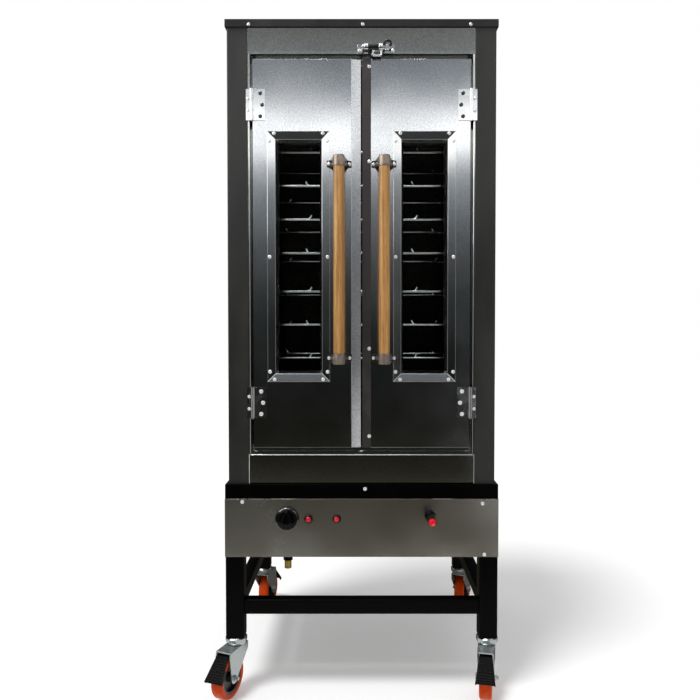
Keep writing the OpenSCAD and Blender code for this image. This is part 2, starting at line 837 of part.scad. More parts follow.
module igniter_button() {
  r = button_d / 2;
  color("#e8202a") translate([igniter_x, control_y - igniter_l, dial_z + igniter_up])
    rotate([90, 0, 0]) rotate_extrude()
      polygon([[0, -12], [r, -12], [r, button_travel + 1], [r - 1.5, button_travel + 2.5], [0, button_travel + 3]]);
}

// Latch

module latch_base() {
  w = latch_base_w / 2;
  ear = latch_pin_d;
  color("#c9ccd0") difference() {
    union() {
      block([plate_mid - w, face_y - latch_plate, open_top], [plate_mid + w, face_y, open_top + latch_h]);
      for (x = [latch_left - latch_t - ear_gap, latch_right + ear_gap]) {
        block([x, latch_y, barrel_z - ear], [x + latch_t, face_y - latch_plate / 2, barrel_z + ear]);
        translate([x + latch_t / 2, latch_y, barrel_z]) rod_x(2 * ear, latch_t);
      }
    }
    translate([latch_x, latch_y, barrel_z]) rod_x(latch_pin_d + 2 * running, latch_base_w);
  }
}

module latch_lever() {
  stem = latch_right + latch_t + 3;
  reach = lever_r + 4;
  color("#1c1d1e") {
    translate([(latch_left + latch_right) / 2, latch_y, barrel_z]) rod_x(barrel_d, barrel_l);
    translate([(latch_left + stem) / 2 - 3, latch_y, barrel_z]) rod_x(latch_pin_d, stem - latch_left + 6);
    block([latch_right - tongue_w - 2, latch_y - latch_t / 2, tongue_z],
          [latch_right - 2, latch_y + latch_t / 2, barrel_z]);
    translate([stem + lever_t / 2 - 1, latch_y, barrel_z]) rotate([lever_tilt, 0, 0]) {
      rod_x(lever_t + 3, lever_t);
      cylinder(d = lever_t, h = reach - lever_r + 2);
      translate([0, 0, reach]) rotate([90, 0, 0]) rotate([0, 0, -100])
        rotate_extrude(angle = 250) translate([lever_r, 0]) circle(d = lever_t, $fn = 24);
    }
  }
}

// Hinges

// Frame leaf of one right-hand hinge, with its two knuckles and the pin, centred on z = 0
module frame_hinge() {
  h = hinge_l / 2;
  k = hinge_l / 6;
  out = knuckle_d / 2 + knuckle_gap;
  translate([hinge_x, hinge_y, 0]) {
    for (s = SIDES) {
      translate([0, 0, s * 2 * k]) cylinder(d = knuckle_d, h = 2 * k, center = true);
      block([0, knuckle_d / 2 - leaf_t, s > 0 ? k : -h], [out + 1, knuckle_d / 2, s > 0 ? h : -k]);
    }
    cylinder(d = pin_d, h = hinge_l + 3, center = true);
    block([out, knuckle_d / 2 - leaf_t, -h], [knuckle_d / 2 + frame_leaf, knuckle_d / 2, h]);
  }
}

// Door leaf of one right-hand hinge, with its knuckle, centred on z = 0
module door_hinge() {
  h = hinge_l / 2;
  k = hinge_l / 6 - knuckle_gap;
  out = knuckle_d / 2 + knuckle_gap;
  translate([hinge_x, hinge_y, 0]) difference() {
    union() {
      cylinder(d = knuckle_d, h = 2 * k, center = true);
      block([-out - 1, knuckle_d / 2 - leaf_t, -k], [0, knuckle_d / 2, k]);
      block([-knuckle_d / 2 - door_leaf, knuckle_d / 2 - leaf_t, -h], [-out, knuckle_d / 2, h]);
    }
    cylinder(d = pin_d + 2 * running, h = hinge_l, center = true);
  }
}

module hinge_frame_leaves() {
  color("#b6b9ba") for (s = [0, 1], z = hinge_zs) mirror([s, 0, 0]) translate([0, 0, z]) frame_hinge();
}

// Doors: each module draws the right-hand door, in place

// Plan of the door box, drawn in by inset, with or without the set-back closing flange
function door_plan(inset, stepped) =
  let (
    a = door_mid + inset,
    b = door_x - inset,
    rear = door_t - skin_t + (inset > 0 ? 1 : 0),
    edge = door_mid + flange_w,
    step = inset + flange_step
  )
  concat(
    [[b, inset], [b, rear], [a + edge_slope, rear]],
    stepped ? [[a, inset + flange_fall], [edge, step], [edge + flange_step, inset]] : [[a, inset]]
  );

module door_skin(stepped) {
  w = bend_w / 2 + trim_t + window_gap;
  h = bend_h / 2 + trim_t + window_gap;
  translate([0, face_y, door_z]) difference() {
    linear_extrude(door_h) polygon(door_plan(0, stepped));
    translate([0, 0, skin_t]) linear_extrude(door_h - 2 * skin_t) polygon(door_plan(skin_t, stepped));
    translate([window_x, 0, window_z]) block([-w, -1, -h], [w, skin_t + 1, h]);
  }
}

module door_liner() {
  w = sight_w / 2;
  h = sight_h / 2;
  t = skin_t;
  front = glass_y + glass_t + window_gap;
  translate([0, face_y, door_z]) difference() {
    union() {
      block([door_mid + edge_slope, door_t - t, 0], [door_x, door_t, door_h]);
      translate([window_x, 0, window_z]) block([-w - t, front, -h - t], [w + t, door_t, h + t]);
    }
    translate([window_x, 0, window_z]) block([-w, front - 1, -h], [w, door_t + 1, h]);
  }
}

// A mitred frame whose flange slopes in from a raised outer edge, then turns down to the glass
module window_trim() {
  d = reveal_d + trim_t;
  k = 2 * reveal_in / d;
  fall = 2 * (trim_flange - trim_rim) / trim_rise;
  over = 1;
  wide = trim_w - 2 * trim_rim + fall * over;
  tall = trim_h - 2 * trim_rim + fall * over;
  translate([window_x, face_y, trim_z]) difference() {
    union() {
      block([-trim_w / 2, -trim_edge, -trim_h / 2], [trim_w / 2, 0, trim_h / 2]);
      translate([0, -trim_t, 0])
        funnel(bend_w + 2 * trim_t, bend_h + 2 * trim_t, sight_w + 2 * trim_t, sight_h + 2 * trim_t, d);
    }
    translate([0, -trim_edge - over, 0]) funnel(wide, tall, bend_w, bend_h, trim_rise + over);
    translate([0, -trim_t - 1, 0]) funnel(bend_w + k, bend_h + k, sight_w - k, sight_h - k, d + 2);
  }
}

module window_glass() {
  translate([window_x, face_y + glass_y, trim_z])
    block([-glass_w / 2, 0, -glass_h / 2], [glass_w / 2, glass_t, glass_h / 2]);
}

// A closed sleeve on the end of the grip, with a strap that bends down to a screwed foot on each side
module handle_bracket() {
  difference() {
    union() {
      cylinder(d = sleeve_d, h = sleeve_l);
      bracket_wing(trim_edge);
      mirror([1, 0, 0]) bracket_wing(0);
    }
    translate([0, 0, sleeve_t]) cylinder(d = sleeve_d - 2 * sleeve_t, h = sleeve_l);
  }
}

// One side of the strap, its foot raised off the door face by lift, its outer edge dropping towards the foot
module bracket_wing(lift) {
  seat = handle_out - lift - strap_t / 2;
  end = foot_x + foot_w / 2;
  path = [[end, seat], [foot_x - foot_w / 2, seat], [sleeve_d / 2 - sleeve_t / 2, 0]];
  intersection() {
    folded_sheet(path, strap_t, 2, sleeve_l);
    translate([0, handle_out + 1, 0]) rotate([90, 0, 0]) linear_extrude(handle_out + strap_t + 2)
      polygon([[0, 0], [end + 1, strap_drop], [end + 1, strap_drop + strap_h], [0, sleeve_l]]);
  }
}

module handle_brackets() {
  translate([handle_x, face_y - handle_out, door_z + handle_z]) {
    handle_bracket();
    translate([0, 0, handle_l]) mirror([0, 0, 1]) handle_bracket();
  }
}

module handle_grip() {
  tenon = sleeve_d - 2 * sleeve_t - 2 * running;
  inset = sleeve_t + seat_gap;
  translate([handle_x, face_y - handle_out, door_z + handle_z]) {
    translate([0, 0, sleeve_l]) cylinder(d = grip_d, h = handle_l - 2 * sleeve_l);
    translate([0, 0, inset]) cylinder(d = tenon, h = handle_l - 2 * inset);
  }
}

module hinge_leaves() {
  for (z = hinge_zs) translate([0, 0, z]) door_hinge();
}

// Screws of one door: hinge leaves, window trim and handle feet
module door_screws() {
  for (z = hinge_zs, k = [-1, 0, 1])
    translate([hinge_x - 20 - (k == 0 ? 4.5 : 0), face_y - leaf_t, z + k * hinge_screw_z]) screw();
  for (s = SIDES) {
    for (k = trim_rows)
      translate([window_x + s * (trim_w / 2 - trim_screw), face_y - trim_seat, trim_z + k * trim_h])
        rotate([0, 0, -s * trim_slope]) screw(6.5, 2);
    for (e = SIDES)
      translate([window_x + s * (trim_w / 2 - 3 * trim_screw), face_y - trim_seat,
                 trim_z + e * (trim_h / 2 - trim_screw)])
        rotate([e * trim_slope, 0, 0]) screw(6.5, 2);
    for (z = [strap_drop + strap_h / 2, handle_l - strap_drop - strap_h / 2])
      translate([handle_x + s * foot_x, face_y - strap_t - (s > 0 ? trim_edge : 0), door_z + handle_z + z])
        screw(6, 2);
  }
}

module cover_strip() {
  block([door_mid, face_y - strip_t, door_z], [door_mid + strip_w, face_y, door_top]);
}

// Screws down the cover strip, as shares of the door's height
module strip_screws() {
  for (k = [0.03, 0.257, 0.738, 0.98])
    translate([door_mid + strip_w - 4, face_y - strip_t, door_z + k * door_h]) screw(6.5, 2);
}

module left_door_skin() { color("#8a8c90") mirror([1, 0, 0]) door_skin(true); }
module right_door_skin() { color("#8a8c90") door_skin(false); }
module left_door_liner() { color("#77797c") mirror([1, 0, 0]) door_liner(); }
module right_door_liner() { color("#77797c") door_liner(); }
module left_window_trim() { color("#9b9d9f") mirror([1, 0, 0]) window_trim(); }
module right_window_trim() { color("#9b9d9f") window_trim(); }
module left_window_glass() { color("#223", 0.5) mirror([1, 0, 0]) window_glass(); }
module right_window_glass() { color("#223", 0.5) window_glass(); }
module left_handle_brackets() { color("#7a6456") mirror([1, 0, 0]) handle_brackets(); }
module right_handle_brackets() { color("#7a6456") handle_brackets(); }
module left_handle_grip() { color("#c08e55") mirror([1, 0, 0]) handle_grip(); }
module right_handle_grip() { color("#c08e55") handle_grip(); }
module left_hinge_leaves() { color("#b6b9ba") mirror([1, 0, 0]) hinge_leaves(); }
module right_hinge_leaves() { color("#b6b9ba") hinge_leaves(); }
module left_door_screws() { color("#cfd2d4") mirror([1, 0, 0]) door_screws(); }
module right_door_screws() {
  color("#cfd2d4") {
    door_screws();
    strip_screws();
  }
}
module right_cover_strip() { color("#3a3534") cover_strip(); }

module cabinet_screws() {
  cap_y = -body_d / 2 - cap_over;
  leaf_x = hinge_x + knuckle_d / 2 + frame_leaf / 2;
  color("#cfd2d4") {
    for (k = cap_screws) translate([k * half_w, cap_y, body_top + panel_t - 0.7 * cap_lip]) screw(6.5, 2);
    for (s = SIDES, z = hinge_zs, k = SIDES)
      translate([s * leaf_x, face_y - leaf_t, z + k * 0.2 * hinge_l]) screw(6.5, 2);
    for (p = panel_screws) translate([p[0] * base_x, control_y, control_foot + p[1] * control_h]) screw();
    translate([0.025 * base_x, -base_y, base_z + base_h * 0.7]) screw();
    for (s = SIDES)
      translate([plate_mid + s * (latch_base_w / 2 - 4.2), face_y - latch_plate, open_top + latch_h / 3])
        screw(6.5, 2);
    for (s = SIDES, k = [0 : 4])
      translate([s * (half_w - rear_flange / 2), body_d / 2, body_z + body_h * (0.04 + 0.23 * k)])
        rotate(180) screw();
    for (s = SIDES, e = SIDES)
      translate([s * motor_d * 0.54, back_y + 3, fan_z + e * motor_d * 0.54]) rotate(180) screw();
  }
}

// Stand

module base_frame() {
  t = tube_t;
  color("#0e0e0f") difference() {
    block([-base_x, -base_y, base_z], [base_x, base_y, body_z]);
    block([-base_x + t, -base_y + t, base_z + t], [base_x - t, base_y - t, body_z - t]);
    block([-base_x + leg_w, -base_y + leg_w, base_z - 1], [base_x - leg_w, base_y - leg_w, body_z + 1]);
  }
}

// A leg with its foot plate and the swivel pin and nut of its caster
module stand_leg() {
  translate([0, 0, leg_z]) {
    tube_z(leg_w, leg_w, leg_h, tube_t);
    linear_extrude(2 * tube_t) polygon(round_rect(leg_w, leg_w, tube_r));
  }
  translate([0, 0, crown_z - 8]) cylinder(d = kingpin_d, h = leg_z - crown_z + 9);
  translate([0, 0, crown_z - 6]) cylinder(d = kingpin_d + 6, h = 6 - seat_gap, $fn = 6);
}

module stand_legs() {
  color("#111112") for (c = CORNERS) translate([c[0] * leg_x, c[1] * leg_y, 0]) stand_leg();
}

module stand_stretchers() {
  x = leg_x - leg_w / 2;
  y = leg_y - leg_w / 2;
  color("#111112") translate([0, 0, leg_z + stretcher_z]) for (s = SIDES) {
    translate([-x, s * leg_y, stretcher_h / 2]) rotate([0, 90, 0]) tube_z(stretcher_h, stretcher_w, 2 * x, tube_t);
    translate([s * leg_x, y, stretcher_h / 2]) rotate([90, 0, 0]) tube_z(stretcher_w, stretcher_h, 2 * y, tube_t);
  }
}

// Casters: each module draws one with its swivel axis on Z and the wheel trailing towards the front

module caster_fork() {
  outer = fork_x + fork_t;
  b = kingpin_d / 2 + running;
  r = head_d / 2;
  top = leg_z - seat_gap;
  hood = -trail - 16;
  cheek = concat(
    [[20, crown_z + fork_t], [hood, crown_z + fork_t], [hood - 4, crown_z - 10]],
    arc([-trail, axle_z], 13, 180, 350, 8),
    [[20, crown_z - 14]]
  );
  color("#a9b0b0") {
    difference() {
      union() {
        rotate_extrude() polygon([[0, crown_z], [r - 7, crown_z], [r - 2, crown_z + 7], [r, crown_z + 12],
                                  [r, top - 3], [r - 3, top], [0, top]]);
        block([-outer, hood, crown_z], [outer, 20, crown_z + fork_t]);
      }
      translate([0, 0, crown_z - 1]) cylinder(r = b, h = head_h);
    }
    for (x = [-outer, fork_x]) translate([x, 0, 0]) rotate([90, 0, 90]) linear_extrude(fork_t) polygon(cheek);
    translate([0, -trail, axle_z]) {
      rotate([0, 90, 0]) translate([0, 0, -outer - 1])
        cylinder(d = axle_d, h = 2 * outer + 1 + bolt_head + bolt_tail);
      for (x = [-outer - bolt_head, outer]) translate([x, 0, 0]) rotate([0, 90, 0])
        cylinder(d = axle_d + 7, h = bolt_head, $fn = 6);
    }
    translate([0, pivot_y, pivot_z]) rod_x(pivot_d, 2 * outer);
  }
}

module caster_hub() {
  b = axle_d / 2 + running;
  boss = b + 6;
  end = fork_x - seat_gap;
  half = wheel_w / 2 - 2;
  color("#1a1b1c") translate([0, -trail, axle_z]) rotate([0, 90, 0]) rotate_extrude()
    polygon([
      [b, -end], [boss, -end], [boss + 2, -4], [rim_r - 6, -4], [rim_r - 5, -half], [rim_r, -half], [rim_r, half],
      [rim_r - 5, half], [rim_r - 6, 4], [boss + 2, 4], [boss, end], [b, end]
    ]);
}

module caster_tyre() {
  h = wheel_w / 2;
  r = axle_z;
  c = 5;
  color("#d5562a") translate([0, -trail, axle_z]) rotate([0, 90, 0]) rotate_extrude($fn = 64)
    polygon(concat(
      [[rim_r + running, h - 1], [rim_r + running, 1 - h]],
      [for (p = arc([r - c, c - h], c, -90, 0, 4)) p],
      [for (p = arc([r - c, h - c], c, 0, 90, 4)) p]
    ));
}

module caster_pedal() {
  root = pedal_root / 2;
  tip = pedal_tip / 2;
  low = -27;
  high = low + pedal_l;
  flat = [-cos(pedal_slope), -sin(pedal_slope)];
  out = [-sin(pedal_slope), cos(pedal_slope)];
  foot = [-trail, axle_z] + out * (axle_z + pedal_gap + pedal_t);
  a = foot + flat * low;
  web = [[pivot_y, pivot_z + 4.5], a, a - out * pedal_t, [pivot_y, pivot_z - 4.4]];
  mid = root + (tip - root) * 0.45;
  lip = low + pedal_l * 0.45;
  color("#17181a") {
    difference() {
      union() {
        rotate([90, 0, 90]) translate([0, 0, 1 - root]) linear_extrude(pedal_root - 2) polygon(web);
        translate([0, pivot_y, pivot_z]) rod_x(9, pedal_root - 2);
      }
      translate([0, pivot_y, pivot_z]) rod_x(pivot_d + 2 * running, pedal_root);
    }
    translate([0, foot[0], foot[1]]) rotate([180 + pedal_slope, 0, 0]) {
      linear_extrude(pedal_t) polygon([[-root, low], [root, low], [tip, high], [-tip, high]]);
      difference() {
        linear_extrude(9) polygon([[-mid, lip], [mid, lip], [tip, high], [-tip, high]]);
        translate([0, 0, -1]) linear_extrude(11)
          polygon([[2.4 - mid, lip - 1], [mid - 2.4, lip - 1], [tip - 2.4, high + 1], [2.4 - tip, high + 1]]);
      }
    }
  }
}

// Puts a caster under the leg at corner c, turned so that it trails to the front left or the rear right
module at_corner(c, turn) {
  translate([c[0] * leg_x, c[1] * leg_y, 0]) rotate(c[1] < 0 ? -turn : 180 - turn) children();
}

module front_left_fork() { at_corner([-1, -1], turn_left) caster_fork(); }
module front_left_hub() { at_corner([-1, -1], turn_left) caster_hub(); }
module front_left_tyre() { at_corner([-1, -1], turn_left) caster_tyre(); }
module front_left_pedal() { at_corner([-1, -1], turn_left) caster_pedal(); }
module front_right_fork() { at_corner([1, -1], turn_right) caster_fork(); }
module front_right_hub() { at_corner([1, -1], turn_right) caster_hub(); }
module front_right_tyre() { at_corner([1, -1], turn_right) caster_tyre(); }
module front_right_pedal() { at_corner([1, -1], turn_right) caster_pedal(); }
module rear_left_fork() { at_corner([-1, 1], turn_right) caster_fork(); }
module rear_left_hub() { at_corner([-1, 1], turn_right) caster_hub(); }
module rear_left_tyre() { at_corner([-1, 1], turn_right) caster_tyre(); }
module rear_left_pedal() { at_corner([-1, 1], turn_right) caster_pedal(); }
module rear_right_fork() { at_corner([1, 1], turn_left) caster_fork(); }
module rear_right_hub() { at_corner([1, 1], turn_left) caster_hub(); }
module rear_right_tyre() { at_corner([1, 1], turn_left) caster_tyre(); }
module rear_right_pedal() { at_corner([1, 1], turn_left) caster_pedal(); }

top_cap();
left_side_panel();
right_side_panel();
back_panel();
front_frame();
base_frame();
stand_legs();
stand_stretchers();
control_panel();
oven_liner();
insulation();
rack_rails();
wire_racks();
fan_baffle();
fan_motor();
fan_wheel();
burner();
gas_valve();
gas_pipe();
control_knob();
pilot_lamps();
igniter_body();
igniter_button();
latch_base();
latch_lever();
hinge_frame_leaves();
cabinet_screws();
left_door_skin();
left_door_liner();
left_window_trim();
left_window_glass();
left_handle_brackets();
left_handle_grip();
left_hinge_leaves();
left_door_screws();
right_door_skin();
right_door_liner();
right_window_trim();
right_window_glass();
right_handle_brackets();
right_handle_grip();
right_hinge_leaves();
right_door_screws();
right_cover_strip();
front_left_fork();
front_left_hub();
front_left_tyre();
front_left_pedal();
front_right_fork();
front_right_hub();
front_right_tyre();
front_right_pedal();
rear_left_fork();
rear_left_hub();
rear_left_tyre();
rear_left_pedal();
rear_right_fork();
rear_right_hub();
rear_right_tyre();
rear_right_pedal();
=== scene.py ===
# %% [markdown]
# # A gas convection oven on a wheeled stand
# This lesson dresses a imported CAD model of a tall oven: a sheet-metal cabinet with two window doors, a
# control panel, a square-tube stand and four casters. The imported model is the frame. It gives each piece
# its place, and each body that moves. Blender adds edges, grain, paint, wood and light.

# %% Load the frame
import json
import math
import bpy
import bmesh
import numpy as np
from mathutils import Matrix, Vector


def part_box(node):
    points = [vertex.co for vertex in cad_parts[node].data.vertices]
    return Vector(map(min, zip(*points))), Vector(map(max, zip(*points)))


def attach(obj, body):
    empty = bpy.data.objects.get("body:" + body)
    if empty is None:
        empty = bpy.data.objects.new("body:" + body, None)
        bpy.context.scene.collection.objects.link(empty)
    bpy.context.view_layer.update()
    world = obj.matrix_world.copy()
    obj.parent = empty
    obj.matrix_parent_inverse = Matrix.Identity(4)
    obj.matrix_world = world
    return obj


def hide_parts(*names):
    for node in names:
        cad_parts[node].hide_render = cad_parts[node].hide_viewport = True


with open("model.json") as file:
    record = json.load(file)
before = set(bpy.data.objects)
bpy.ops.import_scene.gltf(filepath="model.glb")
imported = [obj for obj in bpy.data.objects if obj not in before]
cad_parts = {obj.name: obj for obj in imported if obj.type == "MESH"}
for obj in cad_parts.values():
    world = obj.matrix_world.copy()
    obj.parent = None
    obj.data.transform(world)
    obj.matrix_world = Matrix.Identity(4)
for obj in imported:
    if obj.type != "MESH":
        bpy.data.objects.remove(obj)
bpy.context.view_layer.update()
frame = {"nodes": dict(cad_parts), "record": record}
bpy.context.scene.view_settings.view_transform = "Standard"
body_of = {node: body for body, nodes in frame["record"]["behaviour"]["bodies"].items() for node in nodes}

# %% [markdown]
# ## Colours and nodes
# A hex colour is what the eye sees on a screen. Light adds up in linear numbers, so one function turns hex
# colours linear. A second one adds a shader node, sets it and links it, so that each recipe reads as a list
# of steps.


# %% A colour and a node
def linear(code):
    """Hex colour to linear RGBA: c / 12.92 in the deep shadows, ((c + 0.055) / 1.055) ** 2.4 above them."""
    c = np.array([int(code[i:i + 2], 16) for i in (1, 3, 5)]) / 255
    return (*np.where(c <= 0.04045, c / 12.92, ((c + 0.055) / 1.055) ** 2.4).tolist(), 1.0)


def add(tree, kind, links=None, **settings):
    """Adds one node, sets its settings, then fills or links its input sockets."""
    node = tree.nodes.new(kind)
    for name, value in settings.items():
        setattr(node, name, value)
    for name, value in (links or {}).items():
        if isinstance(value, bpy.types.NodeSocket):
            tree.links.new(value, node.inputs[name])
        else:
            node.inputs[name].default_value = value
    return node


# %% A plain surface to build on
def surface(name, colour, roughness, metallic=0.0, **sockets):
    """A new material with one principled shader. Returns the material, its tree, its shader and the object
    coordinates."""
    material = bpy.data.materials.new(name)
    material.use_nodes = True
    tree = material.node_tree
    shader = tree.nodes["Principled BSDF"]
    shader.inputs["Base Color"].default_value = linear(colour)
    shader.inputs["Roughness"].default_value = roughness
    shader.inputs["Metallic"].default_value = metallic
    for socket, value in sockets.items():
        shader.inputs[socket.replace("_", " ")].default_value = value
    place = add(tree, "ShaderNodeTexCoord").outputs["Object"]
    return material, tree, shader, place


def noise(tree, place, millimetres, stretch=(1, 1, 1), detail=3.0, rough=0.55):
    """Noise whose blobs are about so many millimetres across, longer along an axis with a stretch over 1."""
    scale = [1 / s for s in stretch]
    mapped = add(tree, "ShaderNodeMapping", {"Vector": place, "Scale": scale})
    return add(tree, "ShaderNodeTexNoise", {"Vector": mapped.outputs[0], "Scale": 1000 / millimetres,
                                            "Detail": detail, "Roughness": rough}).outputs[0]


def blend(tree, factor, low, high, start=0.3, end=0.7):
    """Goes from one hex colour to another as the factor goes from start to end."""
    ramp = add(tree, "ShaderNodeValToRGB", {"Fac": factor})
    ramp.color_ramp.elements[0].position = start
    ramp.color_ramp.elements[1].position = end
    ramp.color_ramp.elements[0].color = linear(low)
    ramp.color_ramp.elements[1].color = linear(high)
    return ramp.outputs[0]


def spread(tree, factor, low, high):
    """Turns noise round 0.5 into a number between low and high."""
    return add(tree, "ShaderNodeMapRange", {"Value": factor, "From Min": 0.3, "From Max": 0.7,
                                            "To Min": low, "To Max": high}).outputs[0]


def bump(tree, shader, height, millimetres):
    """Lets a height pattern tilt the shading, as if it stood so many millimetres high."""
    node = add(tree, "ShaderNodeBump", {"Height": height, "Distance": millimetres / 1000, "Strength": 1.0})
    tree.links.new(node.outputs[0], shader.inputs["Normal"])


# %% [markdown]
# ## Stainless steel sheet
# The doors are 304 stainless with the mill's matt 2B finish: no brush lines, but a fine mottle, because the
# cold rolls leave shallow pits about the size of a grain of sand. The pits are too fine to show, so the
# mottle is drawn 2 to 4 mm wide. It changes the tint and tilts the shading a little, and clouds as wide as
# a hand change the gloss. A picture of steel would do too, but it would repeat, and noise never does.


# %% Stainless sheet
def mottled_steel(name, light, dark, roughness, grain=3.5, height=0.03):
    """Mill-finished stainless: a fine mottle in the tint and the bump, and wide clouds in the gloss."""
    material, tree, shader, place = surface(name, light, roughness, 1.0)
    pits = noise(tree, place, grain, detail=2)
    clouds = noise(tree, place, 140, detail=2)
    tree.links.new(blend(tree, pits, dark, light), shader.inputs["Base Color"])
    tree.links.new(spread(tree, clouds, roughness - 0.03, roughness + 0.04), shader.inputs["Roughness"])
    bump(tree, shader, pits, height)
    return material


door_sheet = mottled_steel("stainless 2B sheet of the doors", "#dcdee0", "#b9bbbe", 0.14, 2.6, 0.018)
trim_sheet = mottled_steel("stainless 2B sheet of the window trim", "#d6d7d7", "#c6c7c8", 0.12, 2.0, 0.006)
frame_sheet = mottled_steel("stainless 2B sheet of the front frame", "#cfd0cc", "#b9bab6", 0.12, height=0.012)
panel_sheet = mottled_steel("stainless 2B sheet of the control panel", "#cfccc6", "#b9b6af", 0.24)
# The liner, its rails, baffle and fan, and the door liners are drawn near black: painted shade of the closed
# oven inside.
liner_painted_shade = mottled_steel("liner steel darkened as painted shade", "#2f2d2a", "#211f1d", 0.45, grain=9)
print("stainless sheets:", door_sheet.name, trim_sheet.name, frame_sheet.name, panel_sheet.name)

# %% [markdown]
# ## Powder coat
# The cabinet and the stand are steel with a black polyester powder coat. Powder melts into a skin with a
# faint orange peel about 1.5 mm wide, so a highlight on it wavers. Dust makes flat faces a little greyer in
# places. The stand's coat is the blackest and hardly shines.


# %% Powder coat
def powder_coat(name, colour, dust, roughness, peel=0.02, shine=0.5):
    """Black powder coat: orange peel in the bump, and a thin uneven dust in the colour and gloss."""
    material, tree, shader, place = surface(name, colour, roughness, Specular_IOR_Level=shine)
    cloud = noise(tree, place, 90, stretch=(1, 1, 3), detail=5)
    tree.links.new(blend(tree, cloud, colour, dust, 0.35, 0.8), shader.inputs["Base Color"])
    tree.links.new(spread(tree, cloud, roughness - 0.04, roughness + 0.08), shader.inputs["Roughness"])
    bump(tree, shader, noise(tree, place, 1.6, detail=1), peel)
    return material


cabinet_paint = powder_coat("black powder coat of the cabinet", "#1f201d", "#2d2e2a", 0.4)
cap_paint = powder_coat("black powder coat of the cap", "#0c0c0d", "#151516", 0.36)
stand_paint = powder_coat("black powder coat of the stand", "#020202", "#040404", 0.3, shine=0.05)
motor_paint = powder_coat("grey enamel of the motor", "#3c4043", "#4a4f52", 0.38)
print("powder coats:", cabinet_paint.name, cap_paint.name, stand_paint.name, motor_paint.name)

# %% [markdown]
# ## Plated, cast and turned metal
# Hinges, forks and screws are mild steel with bright zinc. Hot zinc freezes in faint crystals called
# spangle; the thin electroplate here shows only soft clouds of it. The latch is die-cast zinc with chrome
# over nickel. The gas inlet is turned brass, drawn black above a height: it is one solid, so its material
# turns dark there.


# %% Plated metal
def plated(name, light, dark, roughness, spangle=6.0, metallic=1.0):
    """Zinc or chrome plate: cells of slightly different tint and gloss."""
    material, tree, shader, place = surface(name, light, roughness, metallic)
    cells = add(tree, "ShaderNodeTexVoronoi", {"Vector": place, "Scale": 1000 / spangle}).outputs["Color"]
    grey = add(tree, "ShaderNodeRGBToBW", {"Color": cells}).outputs[0]
    tree.links.new(blend(tree, grey, dark, light, 0.1, 0.9), shader.inputs["Base Color"])
    tree.links.new(spread(tree, grey, roughness - 0.03, roughness + 0.05), shader.inputs["Roughness"])
    return material


hinge_zinc = plated("bright zinc plate of the hinges", "#f1f2f2", "#eaebeb", 0.17, spangle=20)
fork_zinc = plated("zinc plate of the caster forks", "#adb3b3", "#a5abac", 0.2, spangle=14, metallic=0.75)
screw_zinc = plated("bright zinc of the screws", "#f6f8f8", "#e8eaea", 0.16, spangle=2, metallic=0.35)
hinge_screw = plated("blackened steel of the hinge screws", "#6e7173", "#54585a", 0.32, spangle=2)
latch_chrome = plated("chrome plate of the latch", "#eceded", "#e2e4e5", 0.1, spangle=12)
rack_chrome = plated("nickel plate of the rack wire", "#f2f4f4", "#e6e8e8", 0.16, spangle=8)
inlet_brass = plated("turned brass of the gas inlet", "#b99a4c", "#8a7a3e", 0.34, spangle=3)
valve_metal = plated("die-cast aluminium of the gas valve", "#a9abac", "#8d8f90", 0.4, spangle=3)
print("plated metals: hinges, forks, screws, latch, racks, inlet, valve")


# %% The inlet, black above a height
def dark_above(material, height, code):
    """Gives a material another hex colour above a height in metres."""
    tree = material.node_tree
    place = add(tree, "ShaderNodeTexCoord").outputs["Object"]
    z = add(tree, "ShaderNodeSeparateXYZ", {"Vector": place}).outputs["Z"]
    over = add(tree, "ShaderNodeMath", {0: z, 1: height}, operation="GREATER_THAN").outputs[0]
    socket = tree.nodes["Principled BSDF"].inputs["Base Color"]
    below = socket.links[0].from_socket
    mixed = add(tree, "ShaderNodeMix", {0: over, 6: below, 7: linear(code)}, data_type="RGBA")
    tree.links.new(mixed.outputs[2], socket)


brass_share = 0.62
inlet_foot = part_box("gas_pipe")[0][2]
panel_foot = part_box("control_panel")[0][2]
dark_above(inlet_brass, inlet_foot + brass_share * (panel_foot - inlet_foot), "#0c0c0c")
print("inlet shows", round(1000 * (panel_foot - inlet_foot)), "mm below the panel")

# %% [markdown]
# ## Wood, plastic, rubber and glass
# The grips are turned softwood with a clear varnish. Turning cuts through the growth rings, so the rings
# show as long pale and dark streaks along the handle: noise pulled out along the axis draws both. The tyres
# are cast polyurethane, smooth and full of colour. The knob's rim is buffed bright, so it mirrors the
# lamps. Glass this thin hardly bends light, so its IOR is low.


# %% Varnished wood
def varnished_wood(name, pale, dark, streak):
    """Long grain along Z: rings 7 mm wide pulled out 22 times, and pores 1.3 mm wide pulled out 18 times."""
    material, tree, shader, place = surface(name, pale, 0.42, Coat_Weight=0.25, Coat_Roughness=0.3)
    rings = noise(tree, place, 7, stretch=(1, 1, 22), detail=3)
    pores = noise(tree, place, 1.3, stretch=(1, 1, 18), detail=2)
    body = blend(tree, rings, dark, pale, 0.36, 0.62)
    fine = blend(tree, pores, streak, "#ffffff", 0.28, 0.5)
    mixed = add(tree, "ShaderNodeMix", {0: 0.45, 6: body, 7: fine}, data_type="RGBA", blend_type="MULTIPLY")
    tree.links.new(mixed.outputs[2], shader.inputs["Base Color"])
    bump(tree, shader, pores, 0.05)
    return material


grip_wood = varnished_wood("varnished softwood of the grips", "#cc974f", "#a37033", "#94622c")

# %% Moulded plastic, tyre and glass
def moulded(name, colour, roughness, grain=0.9, height=0.015, tint=None, **sockets):
    """Moulded plastic or cast rubber: one colour with faint clouds, and a fine eroded grain in the bump."""
    material, tree, shader, place = surface(name, colour, roughness, **sockets)
    tree.links.new(blend(tree, noise(tree, place, 12), colour, tint or colour), shader.inputs["Base Color"])
    bump(tree, shader, noise(tree, place, grain, detail=2), height)
    return material


